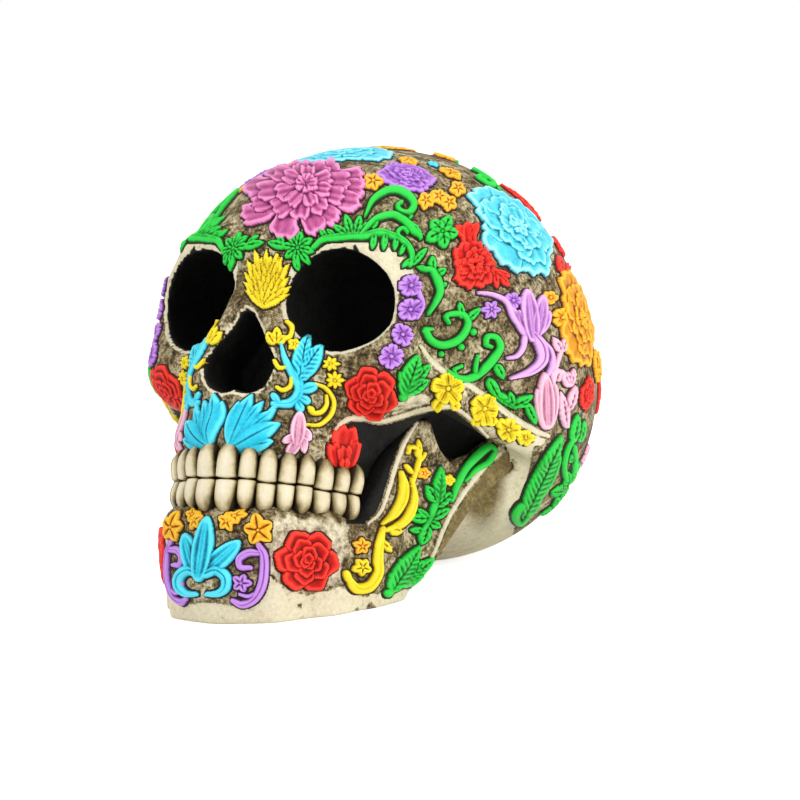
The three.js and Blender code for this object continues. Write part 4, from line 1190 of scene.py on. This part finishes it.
SMALL = {
    ("orange", "cranium"): [
        *flowers("star", 1.25, 0.2, (373, 183, 10, 5, 0, 1.6, 0.9, 0), (425, 202, 9, 5, 30, 1.6, 0.95, 0),
            (438, 198, 9, 5, 0, 1.6, 0.9, 20), (448, 204, 9, 5, 30, 1.6, 0.9, 20),
            (457, 190, 9, 5, 20, 1.6, 0.85, 40)),
        *flowers("cup", 1.25, 0.2, (561, 318, 9, 5, 0, 1.5, 1.2, 0)),
        *flowers("cup", 1.3, 0.2, (549, 298, 7, 5, 0, 1.4, 1.0, 0))],
    ("orange", "mandible"): [
        *flowers("star", 1.1, 0.2, (194, 516, 8, 5, -90, 1.5, 0.95, 0),
            (227, 522, 10, 5, -80, 1.6, 0.95, 0)),
        *flowers("star", 1.15, 0.12, (259, 530, 16, 5, -100, 1.8, 0.95, 0)),
        *flowers("star", 1.1, 0.2, (361, 546, 9, 5, -90, 1.6, 1.0, 0)),
        *flowers("star", 1.2, 0.2, (423, 473, 7, 5, 0, 1.5, 1.0, 0))],
    ("green", "cranium"): [
        *flowers("leaf", 1.15, 0.14, (299, 249, 17, 8, 10, 1.8, 1.0, 0)),
        petals("leaf", (287, 247, 268, 243, 5, 1.5), (284, 244, 278, 235, 3.4, 1.5),
            (296, 258, 298, 271, 4, 1.5)),
        *flowers("leaf", 1.1, 0.1, (441, 233, 17, 5, -63, 1.8, 1.0, 0)),
        [*petals("leaf", (403, 395, 416, 355, 10, 1.9), (405, 387, 429, 365, 7, 1.8),
            (405, 391, 428, 380, 7, 1.7), (405, 386, 399, 371, 5, 1.6)),
         ribbon([(402, 396), (405, 388), (411, 379)], (4.4, 4.4, 3.4), 1.8)],
        [*petals("leaf", (487, 378, 500, 401, 6, 1.7), (494, 392, 517, 409, 6, 1.7),
            (506, 406, 533, 395, 5, 1.6), (512, 404, 509, 391, 4.6, 1.6), (526, 402, 535, 425, 5, 1.6),
            (495, 364, 503, 379, 5, 1.6)),
         ribbon([(490, 380), (500, 396), (512, 404), (527, 404)], (2.4, 3, 3, 2), 1.5)],
        [*petals("leaf", (571, 442, 577, 413, 5, 1.6), (578, 442, 584, 420, 4, 1.5),
            (568, 462, 573, 452, 3, 1.4)),
         ribbon([(572, 438), (566, 450), (563, 466), (566, 480), (572, 476), (574, 460), (573, 446)],
            (2.2, 2.6, 2.6, 2.4), 1.5)],
        [button((473, 332), 3.6, 1.3),
         button((461, 347), 3.4, 1.3),
         button((441, 354), 3, 1.2)]],
    ("yellow", "cranium"): [
        *flowers("cup", 1.35, 0.16, (507, 429, 12, 5, 0, 1.6, 0.85, 50),
            (524, 437, 9, 5, 0, 1.5, 0.8, 30)),
        [*petals("leaf", (275, 345, 268, 332, 5, 1.5), (277, 344, 277, 327, 5, 1.6),
            (278, 344, 286, 336, 4.4, 1.5)),
         ribbon([(284, 340), (290, 336), (291, 328), (286, 322)], (2.4, 2.6, 2.2, 1.4), 1.4)],
        *flowers("star", 1.2, 0.2, (294, 345, 7, 5, 0, 1.4, 1.0, 0)),
        [ribbon([(275, 361), (279, 368), (285, 368)], (1.8, 2.4, 1.6), 1.3),
         ribbon([(277, 387), (283, 390), (290, 386), (291, 377)], (1.8, 2.4, 2.4, 1.6), 1.3)],
        *flowers("spear", 1.1, 0.2, (331, 364, 9, 7, 0, 1.4, 0.8, 0), (335, 380, 10, 8, 0, 1.4, 0.9, 0))],
    ("yellow", "mandible"): [
        *flowers("star", 1.2, 0.2, (448, 480, 6.5, 5, 0, 1.5, 1.0, 0))],
    ("purple", "cranium"): [
        *flowers("star", 1.0, 0.14, (490, 310, 10, 6, 0, 1.6, 1.0, 0)),
        *flowers("cup", 1.2, 0.2, (512, 301, 8, 5, 0, 1.5, 1.1, 0))],
    ("red", "cranium"): [
        layered([((341, 470), (344, 427), 12, 1.9), ((338, 470), (331, 444), 7, 2.0), ((347, 468),
            (353, 441), 7, 2.0), ((342, 470), (341, 446), 7, 2.5), ((342, 470), (341, 456), 5, 2.9)]),
        petals("leaf", (561, 272, 557, 255, 4, 1.4), (565, 274, 569, 260, 3.6, 1.4))],
    ("rosy", "cranium"): [
        petals("leaf", (567, 387, 561, 369, 4, 1.6), (568, 387, 573, 368, 4, 1.6),
            (567, 386, 567, 371, 3.6, 1.7)),
        [*petals("leaf", (565, 428, 560, 391, 5, 1.6), (567, 410, 575, 385, 5, 1.6)),
         ribbon([(566, 426), (566, 408)], (2, 3), 1.4)],
        [*petals("leaf", (560, 352, 552, 337, 4.4, 1.5), (561, 352, 564, 337, 4.4, 1.5)),
         ribbon([(560, 350), (557, 360), (554, 370)], (2.2, 2, 1.6), 1.3)]],
}

# Thin raised edges of the bone itself
RIDGES = {
    "cranium": [
        [ribbon(ARCH_TOP, (1.6, 2.6, 2.8, 2.8, 2.8, 3, 3, 2), 0.7)],
        [ribbon(CHEEK_EDGE, (1.6, 2.4, 2.6, 2.6, 2.6, 2.6, 2.6, 2.4, 2.2, 2, 1.6), 0.7)],
        [ribbon([(252, 466), (254, 458), (261, 453), (268, 457), (271, 466), (274, 460), (281, 456),
            (288, 461), (290, 469), (293, 464), (299, 461), (305, 466), (307, 473)],
            (1.2, 1.8, 2, 1.8, 1.2), 0.7)]],
    "mandible": [
        [ribbon(RAMUS_REAR, (1.4, 2.2, 2.4, 2.4, 2.4, 2.2, 2, 1.4), 0.7)],
        [ribbon(RAMUS_FRONT, (1.4, 2, 2.2, 2.2, 2, 1.8, 1.2), 0.6)]],
}


# Round flowers set flat on the bone, and ornament on the back of the head, which the picture does not show

def sprig_trio(size):
    return [petal((0, 0.2 * size), (-0.8 * size, -0.5 * size), 0.3 * size, 1.6, "tooth", 4),
            petal((0, 0.2 * size), (0.8 * size, -0.5 * size), 0.3 * size, 1.6, "tooth", 4),
            petal((0, 0.4 * size), (0, -0.8 * size), 0.3 * size, 1.7, "leaf")]


def scroll(size):
    curl = ((-1, 0.5), (-0.5, -0.3), (0.2, -0.6), (0.7, -0.2), (0.5, 0.3), (0.1, 0.2), (0.15, -0.1))
    return [ribbon([(x * size, y * size) for x, y in curl], (1.6, 3.4, 4.2, 4, 3.4, 2.8, 2), 1.8),
            petal((0.1 * size, -0.55 * size), (0.5 * size, -size), 0.2 * size, 1.6, "leaf"),
            petal((-0.5 * size, -0.3 * size), (-0.6 * size, -0.8 * size), 0.2 * size, 1.6, "leaf")]


def blossom(size, count, rise=1.0):
    rings = ((size, count, 1.9, 0), (0.74 * size, count - 1, 2.4, 30),
             (0.46 * size, max(count - 2, 4), 2.9, 10), (0.22 * size, 4, 3.3, 40))
    return ringed((0, 0), [(radius, petals, lift * rise, twist) for radius, petals, lift, twist in rings])


def star_bloom(size):
    return flower((0, 0), size, 5, 18, 1.6, fill=1.25, kind="star", heart=0.16)


FLAT_MIDLINE = dict(
    crown_flower=("cyan", (0, 4, 147), blossom(44, 7, 0.6)),
    nape_flower=("cyan", (0, 93, 80), blossom(46, 7)))
FLAT_PAIRED = dict(
    temple_flower=("cyan", (57, 20, 119), blossom(52, 7)),
    side_flower=("orange", (67, 39, 86), blossom(46, 7)),
    crown_blossom=("purple", (30, -4, 140), blossom(27, 6, 0.8)))

BACK_MIDLINE = [
    ("red", (0, 78, 119), 0, rose((0, 0), 26)), ("orange", (0, 32, 147), 0, blossom(26, 6, 0.5)),
    ("green", (0, 56, 138), 0, sprig_trio(30)), ("green", (0, 97, 52), 0, sprig_trio(34)),
    ("orange", (0, 86, 20), 0, blossom(24, 5))]
BACK_PAIRED = [
    ("pink", (37, 79, 80), 0, blossom(34, 7)), ("red", (40, 52, 124), 0, blossom(26, 7, 0.8)),
    ("red", (54, 67, 58), 0, rose((0, 0), 24)), ("purple", (34, 84, 40), 0, blossom(20, 6)),
    ("orange", (24, 77, 112), 0, blossom(16, 5)), ("orange", (62, 54, 68), 0, blossom(16, 5)),
    ("orange", (20, 38, 143), 0, star_bloom(13)), ("green", (24, 90, 62), 60, sprig_trio(22)),
    ("green", (52, 66, 87), -30, sprig_trio(22)), ("green", (46, 68, 30), 30, sprig_trio(24)),
    ("green", (40, 70, 104), 40, scroll(26)), ("yellow", (18, 91, 104), 0, star_bloom(13)),
    ("rosy", (56, 55, 38), 0, star_bloom(13)), ("green", (21, 62, 131), 120, scroll(22)),
    ("red", (52, 48, 108), 0, star_bloom(13)), ("yellow", (24, 96, 73), 0, star_bloom(9)),
    ("green", (16, 90, 32), -60, scroll(18)),
    ("green", (38, 32, 135), 200, scroll(20)), ("purple", (14, 70, 128), 0, star_bloom(11)),
    ("orange", (48, 74, 73), 0, star_bloom(10)), ("blue", (30, 76, 20), 0, star_bloom(13)),
    ("green", (15, 52, 141), -40, scroll(14)), ("orange", (13, 98, 58), 0, star_bloom(9)),
    ("orange", (23, 9, 144), 0, star_bloom(11)), ("orange", (35, 17, 139), 0, star_bloom(12)),
    ("blue", (28, 17, 142), 0, star_bloom(6)), ("red", (70, 42, 60), 0, blossom(16, 6, 0.8)),
    ("green", (57, 46, 27), 40, sprig_trio(30)), ("green", (50, 51, 19), 60, sprig_trio(26))]


# Teeth

def tooth_arch(parts=240):
    t = np.linspace(0, np.pi / 2, parts)
    x = TOOTH_ARCH["half_width"] * np.sin(t)
    y = TOOTH_ARCH["back"] - TOOTH_ARCH["depth"] * np.cos(t)
    run = np.concatenate([[0], np.cumsum(np.hypot(np.diff(x), np.diff(y)))])
    return x, y, run


CROWN_RINGS = 20
CROWN_SIDES = 32


def crown(width, height):
    """A crown standing on its bite edge: points across, outward and up, and its wash and painted shade."""
    t = np.linspace(0, 1, CROWN_RINGS) ** 1.3
    bite = np.sqrt(np.clip(1 - np.clip(1 - t / 0.06, 0, 1) ** 2, 0, 1))
    root = np.clip(1 - np.clip((t - 0.6) / 0.4, 0, 1) ** 2.2, 0, 1) ** (1 / 2.2)
    half = 0.5 * width * np.maximum(np.maximum(bite, 0.82 * (t > 0)) * root, 0.02) * (1 - 0.16 * t)
    belly = 0.70 + 0.30 * np.sin(np.pi * np.clip(t * 1.1, 0, 1))
    deep = 0.5 * TOOTH_DEPTH * np.maximum(bite * root, 0.02) * belly
    a = np.linspace(0, 2 * np.pi, CROWN_SIDES, endpoint=False)
    across = np.sign(np.cos(a)) * np.abs(np.cos(a)) ** 0.55
    out = np.sign(np.sin(a)) * np.abs(np.sin(a)) ** 0.62
    rise = np.broadcast_to((height * t)[:, None], (CROWN_RINGS, CROWN_SIDES))
    points = np.stack([half[:, None] * across, deep[:, None] * out, rise], -1).reshape(-1, 3)
    # Darker at the sides, toward the gum, at the bite edge and all over the back: partly the teeth's olive
    # wash, partly painted shade.
    side = 0.24 * ramp_step(np.abs(across), 0.84, 1.0)
    wash_and_shade = 0.15 + 0.46 * np.abs(across[None]) ** 1.7 + side[None] + 0.36 * ramp_step(t, 0.36, 0.96)[:, None]
    wash_and_shade = np.where(out[None] < 0, 0.95, np.clip(wash_and_shade + 0.4 * ramp_step(t, 0.05, 0.0)[:, None], 0, 1))
    ring = np.arange(CROWN_SIDES)
    after = np.roll(ring, -1)
    faces = [np.stack([k * CROWN_SIDES + ring, k * CROWN_SIDES + after, (k + 1) * CROWN_SIDES + after,
                       (k + 1) * CROWN_SIDES + ring], 1) for k in range(CROWN_RINGS - 1)]
    caps = np.array([[k, (CROWN_SIDES - k) % CROWN_SIDES, CROWN_SIDES - k - 1, k + 1]
                     for k in range(1, CROWN_SIDES // 2 - 1)])
    faces = np.concatenate(faces + [caps, caps[:, ::-1] + (CROWN_RINGS - 1) * CROWN_SIDES])
    return points, faces, wash_and_shade.ravel()


def tooth_row(upper):
    x, y, run = tooth_arch()
    scale = run[-1] / sum(TOOTH_WIDTHS)
    parts, start = [], 0.0
    height, step = (UPPER_TOOTH, OVERBITE) if upper else (LOWER_TOOTH, -OVERBITE)
    for k, width in enumerate(TOOTH_WIDTHS):
        at = (start + width / 2) * scale
        start += width
        here, before, ahead = (np.array([np.interp(at + d, run, x), np.interp(at + d, run, y)])
                               for d in (0, -0.5, 0.5))
        along = (ahead - before) / np.hypot(*(ahead - before))
        outward = np.array([along[1], -along[0]])
        tall = height * (1 - 0.02 * k + 0.04 * np.cos(2.6 * k))
        points, faces, wash_and_shade = crown(width * scale * TOOTH_FILL, tall)
        flat = here + points[:, :1] * along + (points[:, 1:2] + step + 0.25 * np.cos(1.7 * k)) * outward
        sway = 0.4 * np.sin(2.1 * k)
        up = BITE_HEIGHT + sway + (BITE_GAP + points[:, 2]) * (1 if upper else -1)
        placed = from_face(np.concatenate([flat, up[:, None]], 1))
        faces = faces[:, ::-1] if upper else faces
        # Teeth further back are darker: painted shade toward the back of the mouth.
        wash_and_shade = np.clip(wash_and_shade + 0.03 * k, 0, 1)
        parts += [(placed, faces, wash_and_shade), mirrored((placed, faces, wash_and_shade))]
    return joined(parts)


# Build

def add_bone(name, replaced, grid, paint, materials):
    points, faces = surface(grid)
    obj = make_object(name, points, faces, paint(points), materials["bone"])
    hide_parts(replaced)


def build_bone(materials):
    jaw = Grid(jaw_field, JAW_SPACE, JAW_STEP)
    skull = Grid(cranium_field, CRANIUM_SPACE, CRANIUM_STEP)
    whole = skull.values
    skull.values = np.maximum(whole, JAW_GAP - jaw_clearance(jaw, skull))
    add_bone("cranium_bone", "cranium", skull, cranium_paint, materials)
    skull.values = whole
    add_bone("jaw_bone", "mandible", jaw, jaw_paint, materials)
    return dict(cranium=skull, mandible=jaw)


def jaw_clearance(jaw, skull):
    p = skull.points()
    folded = np.concatenate([np.abs(p[..., :1]), p[..., 1:]], -1)
    near = (folded < np.array(JAW_SPACE[1]) - JAW_SPACE_EDGE).all(-1)
    away = np.full(skull.values.shape, FAR_AWAY)
    away[near] = jaw.sample(p[near])
    return away


def build_teeth(materials):
    for name, upper in (("upper_teeth", True), ("lower_teeth", False)):
        points, faces, wash_and_shade = tooth_row(upper)
        obj = make_object(name + "_row", points, faces, dict(tone=wash_and_shade), materials["enamel"])
        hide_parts(name)


def drawn(grid, stamps):
    low, high = extent(stamps)
    return carve(PictureSheet(grid, (low + high) / 2), stamps)


def add_relief(name, part, paint, materials, replaced=None):
    points, faces, tones = part
    obj = make_object(name, points, faces, dict(tone=tones), materials[paint])
    if replaced:
        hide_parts(replaced)


def add_pair(name, part, paint, materials):
    add_relief(name + "_relief_left", part, paint, materials, name + "_left")
    add_relief(name + "_relief_right", mirrored(part), paint, materials, name + "_right")


def build_sprigs(grids, materials):
    """The ornament pieces that have a node of their own."""
    for name, (paint, bone, stamps) in MIDLINE.items():
        add_relief(name + "_relief", drawn(grids[bone], stamps), paint, materials, name)
    for name, (paint, bone, stamps) in PAIRED.items():
        add_pair(name, drawn(grids[bone], stamps), paint, materials)
    for name, (paint, anchor, stamps) in FLAT_MIDLINE.items():
        part = carve(TangentSheet(grids["cranium"], anchor), stamps)
        add_relief(name + "_relief", part, paint, materials, name)
    for name, (paint, anchor, stamps) in FLAT_PAIRED.items():
        add_pair(name, carve(TangentSheet(grids["cranium"], anchor), stamps), paint, materials)


def build_small_ornament(grids, materials):
    """Small shapes between the sprigs, gathered by paint."""
    loose = {}
    for (paint, bone), groups in SMALL.items():
        for stamps in groups:
            part = drawn(grids[bone], stamps)
            loose.setdefault(paint, []).extend([part, mirrored(part)])
    for paint, anchor, turn, stamps in BACK_PAIRED:
        part = carve(TangentSheet(grids["cranium"], anchor, turn), stamps)
        loose.setdefault(paint, []).extend([part, mirrored(part)])
    for paint, anchor, turn, stamps in BACK_MIDLINE:
        loose.setdefault(paint, []).append(carve(TangentSheet(grids["cranium"], anchor, turn), stamps))
    for paint, parts in loose.items():
        add_relief("small_" + paint + "_reliefs", joined(parts), paint, materials)


def build_ridges(grids, materials):
    for bone, groups in RIDGES.items():
        parts = [drawn(grids[bone], stamps) for stamps in groups]
        points, faces, tones = joined(parts + [mirrored(part) for part in parts])
        plain = np.zeros(len(points))
        paint = dict(black=plain, cream=ramp_step(tones, 0.05, 0.45), painted_shade=plain)
        make_object(bone + "_ridges", points, faces, paint, materials["bone"])


def build_materials():
    materials = dict(bone=bone_material(), enamel=enamel_material())
    for name, colours in PAINTS.items():
        materials[name] = paint_material(name + "_paint", *colours)
    return materials


def add_area(name, place, aim, size, power):
    light = bpy.data.lights.new(name, "AREA")
    light.size = size
    light.energy = power
    obj = bpy.data.objects.new(name, light)
    bpy.context.scene.collection.objects.link(obj)
    obj.location = place
    obj.rotation_euler = (Vector(aim) - Vector(place)).to_track_quat("-Z", "Y").to_euler()


def seen_directly(tree):
    """One for rays that show a surface as it is: straight from the camera, or by reflection."""
    path = node(tree, "ShaderNodeLightPath")
    return maths(tree, "MAXIMUM", path.outputs["Is Camera Ray"], path.outputs["Is Glossy Ray"])


def build_floor():
    bpy.ops.mesh.primitive_plane_add(size=FLOOR_SIZE, location=(0, 0, 0))
    floor = bpy.context.object
    floor.name = "floor"
    material, tree, shader = new_material("pale_floor", FLOOR_ROUGHNESS, FLOOR_SPECULAR)
    shader.inputs["Base Color"].default_value = FLOOR_COLOUR
    shader.inputs["Emission Color"].default_value = WHITE
    glow = maths(tree, "MULTIPLY", seen_directly(tree), FLOOR_GLOW)
    tree.links.new(glow, shader.inputs["Emission Strength"])
    floor.data.materials.append(material)


def build_world():
    world = bpy.data.worlds.new("studio")
    bpy.context.scene.world = world
    world.use_nodes = True
    tree = world.node_tree
    sky = tree.nodes["Background"]
    sky.inputs["Color"].default_value = WHITE
    tree.links.new(maths(tree, "MAXIMUM", seen_directly(tree), SKY_LEVEL), sky.inputs["Strength"])


def build_camera():
    camera = bpy.data.cameras.new("camera")
    camera.sensor_width = SENSOR
    camera.lens = PX_PER_MM * DISTANCE * SENSOR / PICTURE
    camera.clip_start, camera.clip_end = CLIP_NEAR, CLIP_FAR
    obj = bpy.data.objects.new("camera", camera)
    scene = bpy.context.scene
    scene.collection.objects.link(obj)
    turn = Matrix(np.stack([RIGHT, UP, BACK], 1).tolist()).to_4x4()
    obj.matrix_world = Matrix.Translation((EYE * MM).tolist()) @ turn
    scene.camera = obj
    scene.view_settings.view_transform = "Standard"


def main():
    materials = build_materials()
    grids = build_bone(materials)
    build_teeth(materials)
    build_sprigs(grids, materials)
    build_small_ornament(grids, materials)
    build_ridges(grids, materials)
    build_floor()
    build_world()
    for name, lamp in LAMPS.items():
        add_area(name, *lamp)
    build_camera()


main()
